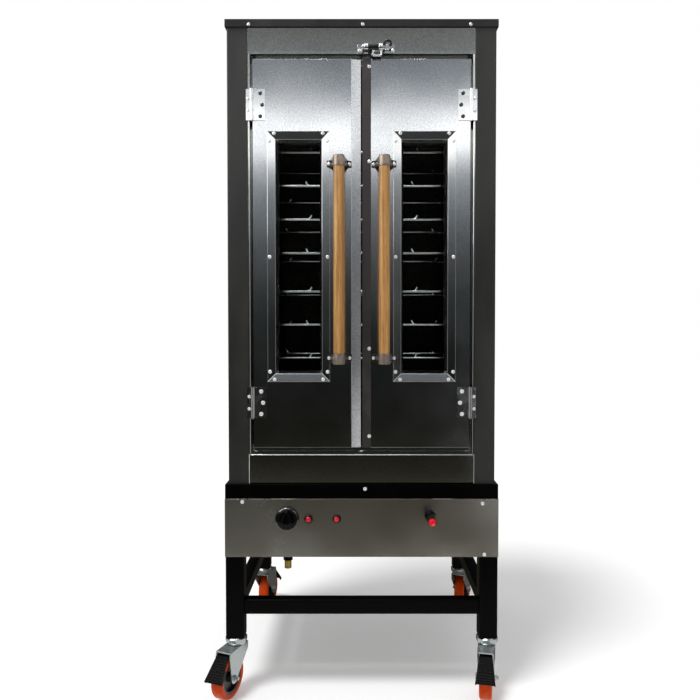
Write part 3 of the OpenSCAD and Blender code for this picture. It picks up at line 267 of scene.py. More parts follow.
knob_plastic = moulded("phenolic of the gas knob", "#040404", 0.1, height=0.004, tint="#050505",
                       Specular_IOR_Level=0.1)
rim_plastic = moulded("polished rim of the gas knob", "#040404", 0.08, height=0.002, tint="#050505",
                      Specular_IOR_Level=1.0)
pedal_plastic = moulded("nylon of the brake pedals", "#030303", 0.42, height=0.03, tint="#050506",
                        Specular_IOR_Level=0.1)
hub_plastic = moulded("nylon of the wheel hubs", "#131416", 0.42, tint="#1c1d1f")
igniter_plastic = moulded("black nylon of the igniter", "#060606", 0.16, height=0.004, tint="#080808",
                          Specular_IOR_Level=0.22)
button_plastic = moulded("red acetal of the igniter button", "#e0141f", 0.22, tint="#e81e29")
lamp_plastic = moulded("red acrylic of the pilot lamps", "#b80a16", 0.06, tint="#c8141e", IOR=1.6,
                       Emission_Strength=0.1, Emission_Color=linear("#c00010"))
lever_paint = moulded("black enamel of the latch lever", "#101112", 0.22, tint="#191a1b")
tyre_rubber = moulded("orange cast polyurethane of the tyres", "#bd3800", 0.3, grain=2.5, height=0.03,
                      tint="#cc4808", Specular_IOR_Level=0.1)
wool = moulded("mineral wool of the insulation", "#cfc9a8", 0.95, grain=1.5, height=0.4, tint="#b9b28e")
glass, glass_tree, glass_shader, glass_place = surface("tempered glass of the windows", "#f4f7f6", 0.02,
                                                       Transmission_Weight=1.0, IOR=1.06)
pane_dust = spread(glass_tree, noise(glass_tree, glass_place, 60), 0.0, 0.035)
glass_tree.links.new(pane_dust, glass_shader.inputs["Roughness"])
print("plastics, tyre and glass ready")

# %% [markdown]
# ## Lacquered and scaled steel
# The straps and sleeves of the handles are steel strip under a brown bronze lacquer. The straps take a darker
# copy of it: partly their own tone, partly painted shade. The cover strip between the doors is drawn dark as
# painted shade, and the burner is bare steel with mill scale. All are steel with a dark cloudy skin, so the
# recipes for plate and powder coat serve again.

# %% Bronze, bronze with painted shade, strip with painted shade, and scale
sleeve_bronze = plated("bronze lacquer of the handle sleeves", "#a29488", "#8a7a6d", 0.34, 5, metallic=0.6)
# The straps take a darker copy of the sleeves' bronze: partly their own tone, partly painted shade.
bronze_with_painted_shade = plated("bronze lacquer of the handle straps with painted shade", "#3f302a", "#31241f", 0.3, 5,
                        metallic=0.4)
# The cover strip is drawn dark: painted shade.
strip_painted_shade = plated("cover strip steel drawn dark as painted shade", "#4a4543", "#444040", 0.46, 40, metallic=0.6)
burner_steel = powder_coat("scaled black steel of the burner", "#3a3431", "#54483e", 0.7, peel=0.08)
print("dark metals ready")

# %% [markdown]
# ## The camera
# The photo was taken about 1.65 m in front of the doors, at a height of 0.9 m, and tipped down by 1.5
# degrees. That makes the legs lean in a little. The focal length comes from the sizes: 689.5 pixels on a
# frame of 700. The frame was cut from a larger one, so the camera's axis meets it off centre, and the lens
# shift says by how much.

# %% Camera
frame_px = 700
focal_px = 689.5
axis_px = (361.6, 339.8)
eye = (0.0, -1.900, 0.897)
pitch_down = 1.48
lens = bpy.data.cameras.new("photo camera")
lens.sensor_width = 36.0
lens.lens = focal_px / frame_px * lens.sensor_width
lens.shift_x = (frame_px / 2 - axis_px[0]) / frame_px
lens.shift_y = (axis_px[1] - frame_px / 2) / frame_px
camera = bpy.data.objects.new("photo_camera", lens)
camera.location = eye
camera.rotation_euler = (math.radians(90 - pitch_down), 0.0, 0.0)
bpy.context.scene.collection.objects.link(camera)
bpy.context.scene.camera = camera
print("lens", round(lens.lens, 2), "mm")

# %% [markdown]
# ## The studio
# A steel door shows what stands in front of it, so the studio matters as much as the steel. The floor and
# the air are white. Round the oven hangs a tall drum that only reflections can see: dark at the foot, one
# bright band at the height of a window, and grey above. It stands in for the shop round the oven, and is
# not part of the oven. Real lamps would do too, but they would light the paint as well.

# %% Floor and air
def emission(name, ramp_stops, axis="Z", low=0.0, high=1.0, strength=1.0):
    """A light-emitting material whose colour follows (metres along an axis, hex colour) stops."""
    material = bpy.data.materials.new(name)
    material.use_nodes = True
    tree = material.node_tree
    tree.nodes.clear()
    place = add(tree, "ShaderNodeTexCoord").outputs["Object"]
    part = add(tree, "ShaderNodeSeparateXYZ", {"Vector": place}).outputs[axis]
    share = add(tree, "ShaderNodeMapRange", {"Value": part, "From Min": low, "From Max": high}).outputs[0]
    ramp = add(tree, "ShaderNodeValToRGB", {"Fac": share})
    elements = ramp.color_ramp.elements
    while len(elements) < len(ramp_stops):
        elements.new(0.5)
    for element, (height, code) in zip(elements, ramp_stops):
        element.position = (height - low) / (high - low)
        element.color = linear(code)
    glow = add(tree, "ShaderNodeEmission", {"Color": ramp.outputs[0], "Strength": strength})
    out = add(tree, "ShaderNodeOutputMaterial")
    tree.links.new(glow.outputs[0], out.inputs["Surface"])
    return material


def put(name, verts, faces, material, smooth=False):
    """Makes a mesh object from corner points in metres and faces. Its place is in its mesh."""
    mesh = bpy.data.meshes.new(name)
    corners = [tuple(v) for v in np.asarray(verts, float)]
    mesh.from_pydata(corners, [], [tuple(int(i) for i in f) for f in faces])
    mesh.update()
    mesh.materials.append(material)
    mesh.polygons.foreach_set("use_smooth", [smooth] * len(mesh.polygons))
    piece = bpy.data.objects.new(name, mesh)
    bpy.context.scene.collection.objects.link(piece)
    return piece


def rectangle(half_w, front, back, level):
    """Four corners of a level sheet, in metres."""
    return [(-half_w, front, level), (half_w, front, level), (half_w, back, level), (-half_w, back, level)]


def seen_directly(tree):
    """One for what the camera, a mirror or a glass pane sees, and nothing for plain light."""
    path = add(tree, "ShaderNodeLightPath")
    two = add(tree, "ShaderNodeMath", {0: path.outputs["Is Camera Ray"], 1: path.outputs["Is Glossy Ray"]})
    three = add(tree, "ShaderNodeMath", {0: two.outputs[0], 1: path.outputs["Is Transmission Ray"]})
    return three.outputs[0]


floor_glow = 0.17
air_light = 0.52
floor_paint, floor_tree, floor_shader, _ = surface("white studio floor", "#fafafa", 0.8)
floor_lift = add(floor_tree, "ShaderNodeMath", {0: seen_directly(floor_tree), 1: floor_glow},
                 operation="MULTIPLY")
floor_tree.links.new(floor_lift.outputs[0], floor_shader.inputs["Emission Strength"])
floor_shader.inputs["Emission Color"].default_value = linear("#ffffff")
reach = 9.0
floor = put("floor", rectangle(reach, -reach, reach, 0), [(0, 1, 2, 3)], floor_paint)
world = bpy.data.worlds.new("white air")
bpy.context.scene.world = world
world.use_nodes = True
air = add(world.node_tree, "ShaderNodeMapRange", {"Value": seen_directly(world.node_tree),
                                                  "To Min": air_light, "To Max": 1.0})
background = world.node_tree.nodes["Background"]
background.inputs["Color"].default_value = linear("#ffffff")
world.node_tree.links.new(air.outputs[0], background.inputs["Strength"])
print("floor", reach * 2, "m wide")


# %% The drum that reflections see
def only_reflections(piece):
    """Hides a stage piece from the camera, from plain light and from shadows."""
    piece.visible_camera = False
    piece.visible_diffuse = False
    piece.visible_shadow = False


drum_r = 2.05
drum_foot = -0.05
drum_top = 4.5
sides = 96
turn = np.linspace(0, 2 * math.pi, sides + 1)[:-1]
circle = np.stack([drum_r * np.cos(turn), drum_r * np.sin(turn)], 1)
drum_points = np.vstack([np.column_stack([circle, np.full(sides, level)]) for level in (drum_foot, drum_top)])
here = np.arange(sides)
beside = (here + 1) % sides
drum_faces = np.stack([here, sides + here, sides + beside, beside], 1)
shop = [(0.0, "#33302a"), (0.14, "#1e1d18"), (0.31, "#12120e"), (0.61, "#101110"), (0.81, "#151717"),
        (0.91, "#1c1f1e"), (1.01, "#242726"), (1.11, "#2d2f2e"), (1.21, "#3a3b3d"), (1.31, "#46484a"),
        (1.41, "#535759"), (1.5, "#5c6063"), (1.6, "#727578"), (1.66, "#8b8e90"), (1.7, "#bcbfc0"),
        (1.74, "#fafafa"), (1.905, "#fafaf8"), (1.94, "#b4b6b8"), (1.99, "#8c8f93"), (2.05, "#797d81"),
        (2.12, "#6c7074"), (2.2, "#626568"), (2.34, "#5b5c5a"), (2.5, "#38393a"), (4.5, "#303234")]
drum_glow = emission("drum of shop light", shop, high=drum_top, strength=2.0)
only_reflections(put("reflection_drum", drum_points, drum_faces, drum_glow))
print("drum", drum_r, "m in radius")

# %% The floors that reflections see
far_floor_glow = emission("dark floor in reflections",
                          [(-1.0, "#5f5e59"), (0.2, "#474339"), (0.9, "#5b5752")], axis="X", low=-1.0)
far_floor_points = np.column_stack([circle, np.full(sides, 0.001)])
only_reflections(put("reflection_floor", far_floor_points, [tuple(range(sides))], far_floor_glow))
near_glow = emission("white floor near the oven", [(-1.0, "#f4f4f2"), (1.0, "#f4f4f2")], axis="X", low=-1.0,
                     strength=1.1)
near_corners = rectangle(1.0, -0.95, -0.1, 0.003)
only_reflections(put("near_reflection_floor", near_corners, [(0, 1, 2, 3)], near_glow))
print("near floor", near_corners[1][0] * 2, "m wide")


# %% Light from the shop's roof
def sunlight(name, bearing, height, softness, strength):
    """Even light from a bearing to the left of the front and a height over the floor, both in degrees. The
    softness of its shadows is in degrees too."""
    light = bpy.data.lights.new(name, "SUN")
    light.angle = math.radians(softness)
    light.energy = strength
    lamp = bpy.data.objects.new(name, light)
    lamp.rotation_euler = (math.radians(90 - height), 0.0, -math.radians(bearing))
    bpy.context.scene.collection.objects.link(lamp)


def reflection_window(name, start, end, low, high, radius, glow, strength, steps=12):
    """An upright sheet of light that only reflections see, between two bearings in degrees and two heights.
    At bearing b a point is (r sin b, -r cos b)."""
    sweep = np.radians(np.linspace(start, end, steps + 1))
    edge = np.stack([radius * np.sin(sweep), -radius * np.cos(sweep)], 1)
    points = np.vstack([np.column_stack([edge, np.full(steps + 1, level)]) for level in (low, high)])
    j = np.arange(steps)
    faces = np.stack([j, j + 1, steps + 2 + j, steps + 1 + j], 1)
    only_reflections(put(name, points, faces, emission(name + " light", glow, high=high, strength=strength)))


side_glow = [(0.0, "#9c9d9c"), (1.2, "#b9babb"), (1.9, "#ffffff")]
strip_glow = [(0.1, "#f0f0f0"), (0.35, "#dadada"), (0.5, "#b4b4b4"), (0.65, "#808080"), (0.9, "#8a8a8b"),
              (1.18, "#747576"), (1.4, "#828384"), (1.6, "#8e8f90"), (1.7, "#acacac"), (1.8, "#dcdcdc"),
              (2.6, "#e8e8e8")]
lamp_glow = [(0.0, "#ffffff"), (2.9, "#ffffff")]
window_foot, window_head, window_r = 0.02, 2.6, 1.98
for name, start, end, glow in (("left_window", -62, -36, side_glow),
                               ("middle_window", 18.8, 22.8, strip_glow),
                               ("right_window", 37, 58, side_glow)):
    reflection_window(name, start, end, window_foot, window_head, window_r, glow, strength=1.6)
reflection_window("left_lamps", -82, -52, low=1.3, high=2.9, radius=1.8, glow=lamp_glow, strength=4.5)
reflection_window("roof_lamps", -78, 14, low=2.95, high=3.5, radius=1.6, glow=lamp_glow, strength=7.0)
sunlight("roof_light", bearing=47, height=66, softness=16, strength=1.65)

# %% [markdown]
# ## Dressing the CAD solids
# A CAD solid comes as loose triangles with knife-sharp edges. Real sheet and tube have edges about half a
# millimetre round, and they catch a thin line of light. So each solid is copied, its doubled points are
# joined, a bevel rounds its sharp edges, and its curved walls are shaded smooth. Large faces weigh more in
# the shading, so that they stay flat up to a fold. The copy stands for the solid.


# %% Dress a solid
same_point = 2e-6
sharp_fold = 28.0
sheet_edge = 0.4


def dressed(node, material, edge=sheet_edge, angle=sharp_fold):
    """A copy of a CAD solid: doubles joined, sharp folds rounded by so many millimetres, and the shading
    smooth over edges under an angle in degrees."""
    source = frame["nodes"][node]
    mesh = source.data.copy()
    work = bmesh.new()
    work.from_mesh(mesh)
    bmesh.ops.remove_doubles(work, verts=work.verts, dist=same_point)
    bmesh.ops.dissolve_limit(work, angle_limit=math.radians(0.5), verts=work.verts, edges=work.edges)
    work.to_mesh(mesh)
    work.free()
    mesh.materials.clear()
    mesh.materials.append(material)
    mesh.polygons.foreach_set("use_smooth", [True] * len(mesh.polygons))
    mesh.set_sharp_from_angle(angle=math.radians(angle))
    piece = bpy.data.objects.new(node + "_finish", mesh)
    bpy.context.scene.collection.objects.link(piece)
    if edge:
        rounding = piece.modifiers.new("rounded edges", "BEVEL")
        rounding.width = edge / 1000
        rounding.segments = 2
        rounding.limit_method = "ANGLE"
        rounding.angle_limit = math.radians(sharp_fold)
        rounding.use_clamp_overlap = True
        flat_shading = piece.modifiers.new("flat faces", "WEIGHTED_NORMAL")
        flat_shading.keep_sharp = True
    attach(piece, body_of[node])
    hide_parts(node)
    return piece


# %% Dress the sheet, the inside and the casters
finish_of = {
    cap_paint: ["top_cap"],
    cabinet_paint: ["left_side_panel", "right_side_panel", "back_panel"],
    stand_paint: ["base_frame", "stand_legs", "stand_stretchers"],
    frame_sheet: ["front_frame"], panel_sheet: ["control_panel"],
    liner_painted_shade: ["oven_liner", "rack_rails", "fan_baffle", "left_door_liner", "right_door_liner",
                  "fan_wheel"],
    wool: ["insulation"], rack_chrome: ["wire_racks"], motor_paint: ["fan_motor"], burner_steel: ["burner"],
    valve_metal: ["gas_valve"], inlet_brass: ["gas_pipe"], latch_chrome: ["latch_base"],
    hinge_zinc: ["hinge_frame_leaves", "left_hinge_leaves", "right_hinge_leaves"],
    door_sheet: ["left_door_skin", "right_door_skin"],
    glass: ["left_window_glass", "right_window_glass"], strip_painted_shade: ["right_cover_strip"],
    bronze_with_painted_shade: ["left_handle_brackets", "right_handle_brackets"],
}
edge_of = {"hinge_frame_leaves": 0.8, "left_hinge_leaves": 0.8, "right_hinge_leaves": 0.8, "insulation": 0,
           "wire_racks": 0, "fan_wheel": 0, "left_window_glass": 0, "right_window_glass": 0, "rack_rails": 0}
low_slope = 6.0
low_slopes = ("left_door_skin", "right_door_skin")
stand_corners = ("front_left", "front_right", "rear_left", "rear_right")
for material, nodes in finish_of.items():
    for node in nodes:
        angle = low_slope if node in low_slopes else sharp_fold
        dressed(node, material, edge_of.get(node, sheet_edge), angle)
for corner in stand_corners:
    dressed(corner + "_fork", fork_zinc)
    dressed(corner + "_hub", hub_plastic)
    dressed(corner + "_tyre", tyre_rubber, edge=0)
    dressed(corner + "_pedal", pedal_plastic, edge=0.6)

# %% [markdown]
# ## Shapes from numbers
# The small parts are better drawn than dressed. Each is a surface worked out as a whole array: a profile
# turned round an axis, or a strip swept along a path. Points come in rows and columns, and faces join each
# row to the next.


# %% Grids of points
def grid_faces(rows, columns, wrap=True):
    """Faces that join each row of points to the next: (r, c), (r, c+1), (r+1, c+1), (r+1, c)."""
    r, c = np.meshgrid(np.arange(rows - 1), np.arange(columns if wrap else columns - 1), indexing="ij")
    n = (c + 1) % columns
    here, above = r * columns, (r + 1) * columns
    return np.stack([here + c, here + n, above + n, above + c], -1).reshape(-1, 4)


def stood(points, way, place):
    """Turns points so that their third number runs up, to the front or to the right, moves them by a place in
    millimetres, and gives metres."""
    u, v, h = points.T
    column = {"up": (u, v, h), "front": (u, -h, v), "right": (h, u, v)}[way]
    return (np.column_stack(column) + place) / 1000


def turned(name, profile, material, place, way="up", segments=48, ripple=None, angle=32.0):
    """A profile of (radius, height) pairs in millimetres, turned round an axis through a place.
    A point is (r cos a, r sin a, h). A ripple function of the angle a may add to the radius."""
    profile = np.asarray(profile, float)
    a = np.linspace(0, 2 * math.pi, segments + 1)[:-1]
    r = np.repeat(profile[:, :1], segments, 1)
    if ripple is not None:
        r = r + ripple(a)[None, :] * (profile[:, :1] > 1e-6)
    level = np.repeat(profile[:, 1:2], segments, 1)
    grid = np.stack([r * np.cos(a), r * np.sin(a), level], -1).reshape(-1, 3)
    piece = put(name, stood(grid, way, place), grid_faces(len(profile), segments), material, True)
    return close_up(piece, angle)


def lofted(name, outline, levels, material, place, way="up", angle=32.0):
    """Rings of one outline, which runs anticlockwise. Ring k is the outline moved inwards along its normals
    by levels[k][0], at height levels[k][1], both in millimetres. The first and last rings are closed flat."""
    edge = np.asarray(outline, float)
    along = np.roll(edge, -1, 0) - np.roll(edge, 1, 0)
    normal = np.column_stack([along[:, 1], -along[:, 0]]) / np.linalg.norm(along, axis=1)[:, None]
    rings = [np.column_stack([edge - normal * inset, np.full(len(edge), height)]) for inset, height in levels]
    piece = put(name, stood(np.vstack(rings), way, place), grid_faces(len(levels), len(edge)), material, True)
    return close_up(piece, angle)


def swept(name, path, radii, flat, material, sides=20):
    """A round bar along a path that lies in one plane, whose normal is flat. With t along the path and
    n = t x flat, a ring point is p + r (n cos a + flat sin a)."""
    path, flat = np.asarray(path, float), np.asarray(flat, float)
    along = np.gradient(path, axis=0)
    along = along / np.linalg.norm(along, axis=1)[:, None]
    out = np.cross(along, flat)
    a = np.linspace(0, 2 * math.pi, sides + 1)[:-1]
    ring = out[:, None, :] * np.cos(a)[None, :, None] + flat[None, None, :] * np.sin(a)[None, :, None]
    grid = path[:, None, :] + np.asarray(radii, float)[:, None, None] * ring
    piece = put(name, grid.reshape(-1, 3) / 1000, grid_faces(len(path), sides), material, True)
    return close_up(piece)


def arc_points(centre, radius, start, end, count=12):
    """Points of an arc: centre + radius (cos a, sin a), a in degrees from start to end."""
    a = np.radians(np.linspace(start, end, count))
    return np.column_stack([centre[0] + radius * np.cos(a), centre[1] + radius * np.sin(a)])


def close_up(piece, angle=32.0):
    """Joins doubled points, closes what is left open, turns all faces outwards and marks the sharp edges."""
    work = bmesh.new()
    work.from_mesh(piece.data)
    bmesh.ops.remove_doubles(work, verts=work.verts, dist=same_point)
    bmesh.ops.dissolve_degenerate(work, edges=work.edges, dist=1e-7)
    bmesh.ops.holes_fill(work, edges=[e for e in work.edges if e.is_boundary])
    bmesh.ops.recalc_face_normals(work, faces=work.faces)
    work.to_mesh(piece.data)
    work.free()
    piece.data.polygons.foreach_set("use_smooth", [True] * len(piece.data.polygons))
    piece.data.set_sharp_from_angle(angle=math.radians(angle))
    return piece


def stands_for(piece, body, *nodes):
    """The piece moves with a body and replaces these CAD nodes."""
    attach(piece, body)
    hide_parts(*nodes)
    return piece


# %% [markdown]
# ## Window trims
# A trim is four strips of pressed sheet, cut at 45 degrees and welded into a ring. Seen across, a strip has
# a rolled outer edge, a flange that slopes in at 12 degrees, and a bend down to the glass. The same section
# runs round the window: at inset i from the outer edge, the ring is a rectangle whose half sizes are less
# by i. The slope makes the top strip mirror low dark places and the foot strip mirror higher, brighter
# ones. Four bars would do too, but one section in one ring keeps the mitres true.


# %% Section of a strip
trim_slope = 12.0
trim_rise = 4.0
trim_w = 25.0
trim_sheet_t = 1.2
glass_depth = 12.0
knee_in = 19.0
flange_w = 18.4
flat_run = 0.5


def falling(angle):
    """A step of 1 inwards and down at an angle in degrees: (cos a, -sin a)."""
    return np.array([math.cos(math.radians(angle)), -math.sin(math.radians(angle))])


def strip_section(roll=1.0, bend=1.6):
    """(inset, height) pairs in millimetres: a rolled edge, the slope, a bend and the wall down to the glass.
    Straight parts end in arcs, centre + radius (cos a, sin a). Short flat runs keep their shading apart."""
    rolled = arc_points((roll, trim_rise - roll), roll, 180, 90 - trim_slope, 13)
    fall = math.tan(math.radians(trim_slope)) * (knee_in - rolled[-1, 0])
    knee = np.array([knee_in, rolled[-1, 1] - fall])
    wall = math.degrees(math.atan2(knee[1] + glass_depth, trim_w - knee_in))
    down = falling(trim_slope)
    start = knee - bend * math.tan(math.radians((wall - trim_slope) / 2)) * down
    centre = start + bend * np.array([down[1], -down[0]])
    bent = arc_points(centre, bend, 90 - trim_slope, 90 - wall, 9)
    back = [(trim_w, -glass_depth), (trim_w - trim_sheet_t, -glass_depth), (flange_w, 0), (0, 0)]
    return np.vstack([[(0, 0)], rolled, [rolled[-1] + flat_run * down], [start - flat_run * down], bent,
                      [bent[-1] + flat_run * falling(wall)], back])


section = strip_section()
print("trim section of", len(section), "points")

# %% Trim rings with welded corners
door_front = -250.0
slope_from = 1.2
slope_rise = 3.9
weld_in = np.array([0.9, 6, 12, flange_w])
weld_r = [0.5, 0.6, 0.6, 0.5]
signs = np.array([(-1, -1), (1, -1), (1, 1), (-1, 1)])
for side in ("left", "right"):
    low_mm, high_mm = (np.array(v) * 1000 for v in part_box(side + "_window_trim"))
    half = (high_mm - low_mm)[[0, 2]] / 2
    middle = (high_mm + low_mm)[[0, 2]] / 2
    corners = signs[None] * (half[None, None] - section[:, None, :1]) + middle
    heights = np.repeat(door_front - section[:, 1:2], 4, 1)
    points = np.stack([corners[..., 0], heights, corners[..., 1]], -1).reshape(-1, 3)
    trim = put(side + "_trim_ring", points / 1000, grid_faces(len(section), 4), trim_sheet, True)
    close_up(trim, angle=10)
    stands_for(trim, side + "_door", side + "_window_trim")
    weld_y = door_front - slope_rise + math.tan(math.radians(trim_slope)) * (weld_in - slope_from)
    for k, sign in enumerate(signs):
        path = np.column_stack([middle[0] + sign[0] * (half[0] - weld_in), weld_y,
                                middle[1] + sign[1] * (half[1] - weld_in)])
        bead = swept(f"{side}_weld_{k}", path, weld_r, (0, 1, 0), screw_zinc, 12)
        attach(bead, side + "_door")
print("trims", np.round(high_mm - low_mm, 1)[[0, 2]].tolist(), "mm, with 4 welds each")

# %% [markdown]
# ## Folded edges of the front frame
# The front frame is folded from one sheet, and its edge stands against each post. Above the sill this edge
# is the jamb. Beside the sill, whose top lies 17 mm under the doors, it shows as a thin bar a little proud of
# the sheet, drawn in a whiter, less metallic steel than the frame: a real fold with a painted highlight.

# %% Edges beside the sill
# The edge bars are whiter and less metallic than the frame sheet: a painted highlight along the fold.
edge_painted_highlight = plated("front frame edge whitened as painted highlight", "#f2f3f3", "#e6e8e8", 0.2, 20, metallic=0.35)
frame_low, frame_high = (np.array(v) * 1000 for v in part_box("front_frame"))
sill_drop = 17.0
edge_foot = frame_low[2] + 1
edge_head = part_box("left_door_skin")[0][2] * 1000 - sill_drop
for side, x, edge_r in (("left", frame_low[0], 0.8), ("right", frame_high[0], 0.45)):
    line = [(x, frame_low[1], z) for z in np.linspace(edge_foot, edge_head, 4)]
    fold = swept(side + "_frame_edge", line, [edge_r] * 4, (0, 1, 0), edge_painted_highlight, 12)
    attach(fold, "cabinet")
print("frame edges", round(edge_head - edge_foot, 1), "mm long")

# %% [markdown]
# ## Screws
# All the screws are pan heads with a cross recess. The CAD model has one plain head for each, so the script
# finds the box of each separate head, and puts a modelled head there, as high as the plain one, and a
# little wider on the front. Their slots stop at any angle.


# %% The separate solids of a node
def islands(node):
    """Lowest and highest corner of each separate solid of a CAD node. Every point takes the smallest label of
    the triangles that it touches, again and again, until no label changes."""
    mesh = frame["nodes"][node].data
    co = np.empty(len(mesh.vertices) * 3)
    mesh.vertices.foreach_get("co", co)
    co = co.reshape(-1, 3)
    same = np.unique(np.round(co, 6), axis=0, return_inverse=True)[1].ravel()
    corner = np.empty(len(mesh.loops), int)
    mesh.loops.foreach_get("vertex_index", corner)
    triangle = same[corner].reshape(-1, 3)
    label = np.arange(same.max() + 1)
    while True:
        lower = label.copy()
        np.minimum.at(lower, triangle.ravel(), np.repeat(label[triangle].min(axis=1), 3))
        if (lower == label).all():
            break
        label = lower
    owner = label[same]
    return [(co[owner == k].min(0), co[owner == k].max(0)) for k in np.unique(owner)]


# %% A cross-recessed head
def head_grid(rings=13, columns=40):
    """A unit pan head of radius 1 and height 1 on a polar grid. Height is 1 - 0.68 r^2 and falls to 0 at the
    rim. The cross is sunk where |x| or |y| is under 0.17, within 0.56 of the radius."""
    r = np.concatenate([np.linspace(0, 0.62, rings - 4), [0.72, 0.82, 0.92, 1.0, 1.0]])
    a = np.linspace(0, 2 * math.pi, columns + 1)[:-1]
    rr, aa = np.meshgrid(r, a, indexing="ij")
    h = 1 - 0.68 * rr ** 2
    h[-1] = 0.0
    x, y = rr * np.cos(aa), rr * np.sin(aa)
    arm = np.minimum(np.abs(x), np.abs(y))
    sunk = np.clip((0.2 - arm) / 0.06, 0, 1) * np.clip((0.6 - rr) / 0.08, 0, 1)
    return np.stack([x, y, h - 0.8 * sunk * h], -1).reshape(-1, 3), grid_faces(len(r), columns)


upper_from = 1.2


def screw_set(name, node, material, body, seed, other=None, beyond=1.0, swell=1.15):
    """One cross-recessed head for each head of a CAD node, facing the way that it faces. Heads on the front
    are wider by a share. Heads over upper_from and further out than beyond, both in metres, take the other
    material."""
    unit, faces = head_grid()
    luck = np.random.default_rng(seed)
    points, quads = [], []
    for k, (lo, hi) in enumerate(islands(node)):
        turn_by = luck.uniform(0, math.pi / 2)
        spin = np.array([[math.cos(turn_by), -math.sin(turn_by)], [math.sin(turn_by), math.cos(turn_by)]])
        front = lo[1] + hi[1] < 0
        flat = unit[:, :2] @ spin.T * (hi[0] - lo[0]) / 2 * (swell if front else 1.0)
        seat, way = (hi[1], -1) if front else (lo[1], 1)
        y = seat + way * unit[:, 2] * (hi[1] - lo[1])
        middle = (lo + hi) / 2
        points.append(np.column_stack([flat[:, 0] + middle[0], y, flat[:, 1] + middle[2]]))
        quads.append(faces + k * len(unit))
    piece = put(name, np.vstack(points), np.vstack(quads), material, True)
    close_up(piece, angle=40)
    if other:
        piece.data.materials.append(other)
        centre = np.empty(len(piece.data.polygons) * 3)
        piece.data.polygons.foreach_get("center", centre)
        centre = centre.reshape(-1, 3)
        dark = (abs(centre[:, 0]) > beyond) & (centre[:, 2] > upper_from)
        piece.data.polygons.foreach_set("material_index", dark.astype(int))
    return stands_for(piece, body, node)


hinges_beyond = 0.228
door_swell = 1.3
screw_set("cabinet_screw_heads", "cabinet_screws", screw_zinc, "cabinet", seed=1)
for seed, door in ((2, "left_door"), (3, "right_door")):
    screw_set(door + "_screw_heads", door + "_screws", screw_zinc, door, seed, hinge_screw, hinges_beyond,
              door_swell)
print("screw heads:", [len(islands(body + "_screws")) for body in ("cabinet", "left_door", "right_door")])

# %% [markdown]
# ## Gas knob
# The knob is phenolic, pressed in a polished mould, so it is glossy. A round skirt carries a pear-shaped
# pointer with a small hole for its grub screw. The skirt is a turned profile, whose rim has a brighter
# material of its own, and the pointer is one outline that is drawn in a little at each level. Profiles in
# millimetres are easy to correct.


# %% Knob
def centre_of(node):
    """Middle of a node's box, in millimetres."""
    lo, hi = (np.array(v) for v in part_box(node))
    return (lo + hi) * 500


knob_lo, knob_hi = (np.array(v) * 1000 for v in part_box("control_knob"))
panel_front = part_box("control_panel")[0][1] * 1000
dial_x, dial_z = centre_of("control_knob")[[0, 2]]
knob_r = (knob_hi[0] - knob_lo[0]) / 2
knob_back = panel_front - 1
rim_w = 3.6
skirt = [(0, 0), (knob_r - 0.8, 0), (knob_r, 0.8), (knob_r, 2.6), (knob_r - 0.4, 3.5), (knob_r - rim_w, 6.2),
         (knob_r - 4.3, 6.5), (knob_r - 5.0, 6.3), (knob_r - 5.8, 7.4), (knob_r - 9, 9.2), (8, 10.4), (0, 11)]
knob_skirt = turned("knob_skirt", skirt, knob_plastic, (dial_x, knob_back, dial_z), "front", 72)
knob_skirt.data.materials.append(rim_plastic)
for face in knob_skirt.data.polygons:
    away = math.hypot(face.center[0] * 1000 - dial_x, face.center[2] * 1000 - dial_z)
    face.material_index = int(knob_r - rim_w < away < knob_r - 0.3)
pear = np.vstack([arc_points((0, 0), 12, 150, 390, 40), arc_points((0, 20.5), 4, 20, 160, 16)])
pear_levels = [(-1.6, 8.6), (-0.6, 9.6), (0, 11.5), (0.5, 22.5), (1.2, 24.6), (2.6, 25.7), (4.0, 26),
               (6.5, 25.4)]
pointer = lofted("knob_pointer", pear, pear_levels, knob_plastic, (dial_x, knob_back, dial_z), "front", 40)
grub_place = (dial_x, knob_back - 25.4, dial_z - 6)
grub_outline = [(0, 0), (2.4, 0), (2.4, 0.3), (1.9, 0.5), (1.5, 0.1), (0, 0)]
grub_hole = turned("knob_screw", grub_outline, lever_paint, grub_place, "front", 24)
stands_for(knob_skirt, "knob", "control_knob")
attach(pointer, "knob")
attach(grub_hole, "knob")
print("knob", round(2 * knob_r, 1), "mm across")

# %% [markdown]
# ## Pilot lamps
# Each lamp is a red acrylic dome, clipped in a black bezel that steps down to the panel. The dome is cast
# with small facets, which break up the light, so its radius ripples round the axis.

# %% Lamps
bezel_outline = [(0, -20), (7.6, -20), (7.6, 0), (10.3, 0), (10.5, 0.4), (10.5, 1.8), (10.1, 2.6), (8.9, 4.3),
                 (8.1, 4.8), (7.3, 4.5), (7.0, 3.4), (0, 3.2)]
lens_outline = [(0, 2), (6.3, 2), (6.3, 4.6), (6.0, 6.0), (5.2, 7.4), (3.9, 8.5), (2.1, 9.1), (0, 9.3)]
lamp_places = (-127.5, -60.0)
for k, x in enumerate(lamp_places):
    bezel = turned(f"lamp_bezel_{k}", bezel_outline, igniter_plastic, (x, panel_front, dial_z), "front", 48)
    lens_dome = turned(f"lamp_lens_{k}", lens_outline, lamp_plastic, (x, panel_front, dial_z), "front", 60,
                       lambda a: 0.3 * np.cos(8 * a))
    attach(lens_dome, "cabinet")
    stands_for(bezel, "cabinet", "pilot_lamps")
print("lamps:", len(lamp_places))

# %% [markdown]
# ## Igniter
# A piezo igniter is a nylon tube with a spring hammer inside. Its collar seats on the panel, and a red
# button closes its mouth. The button's face is dished to fit a fingertip.

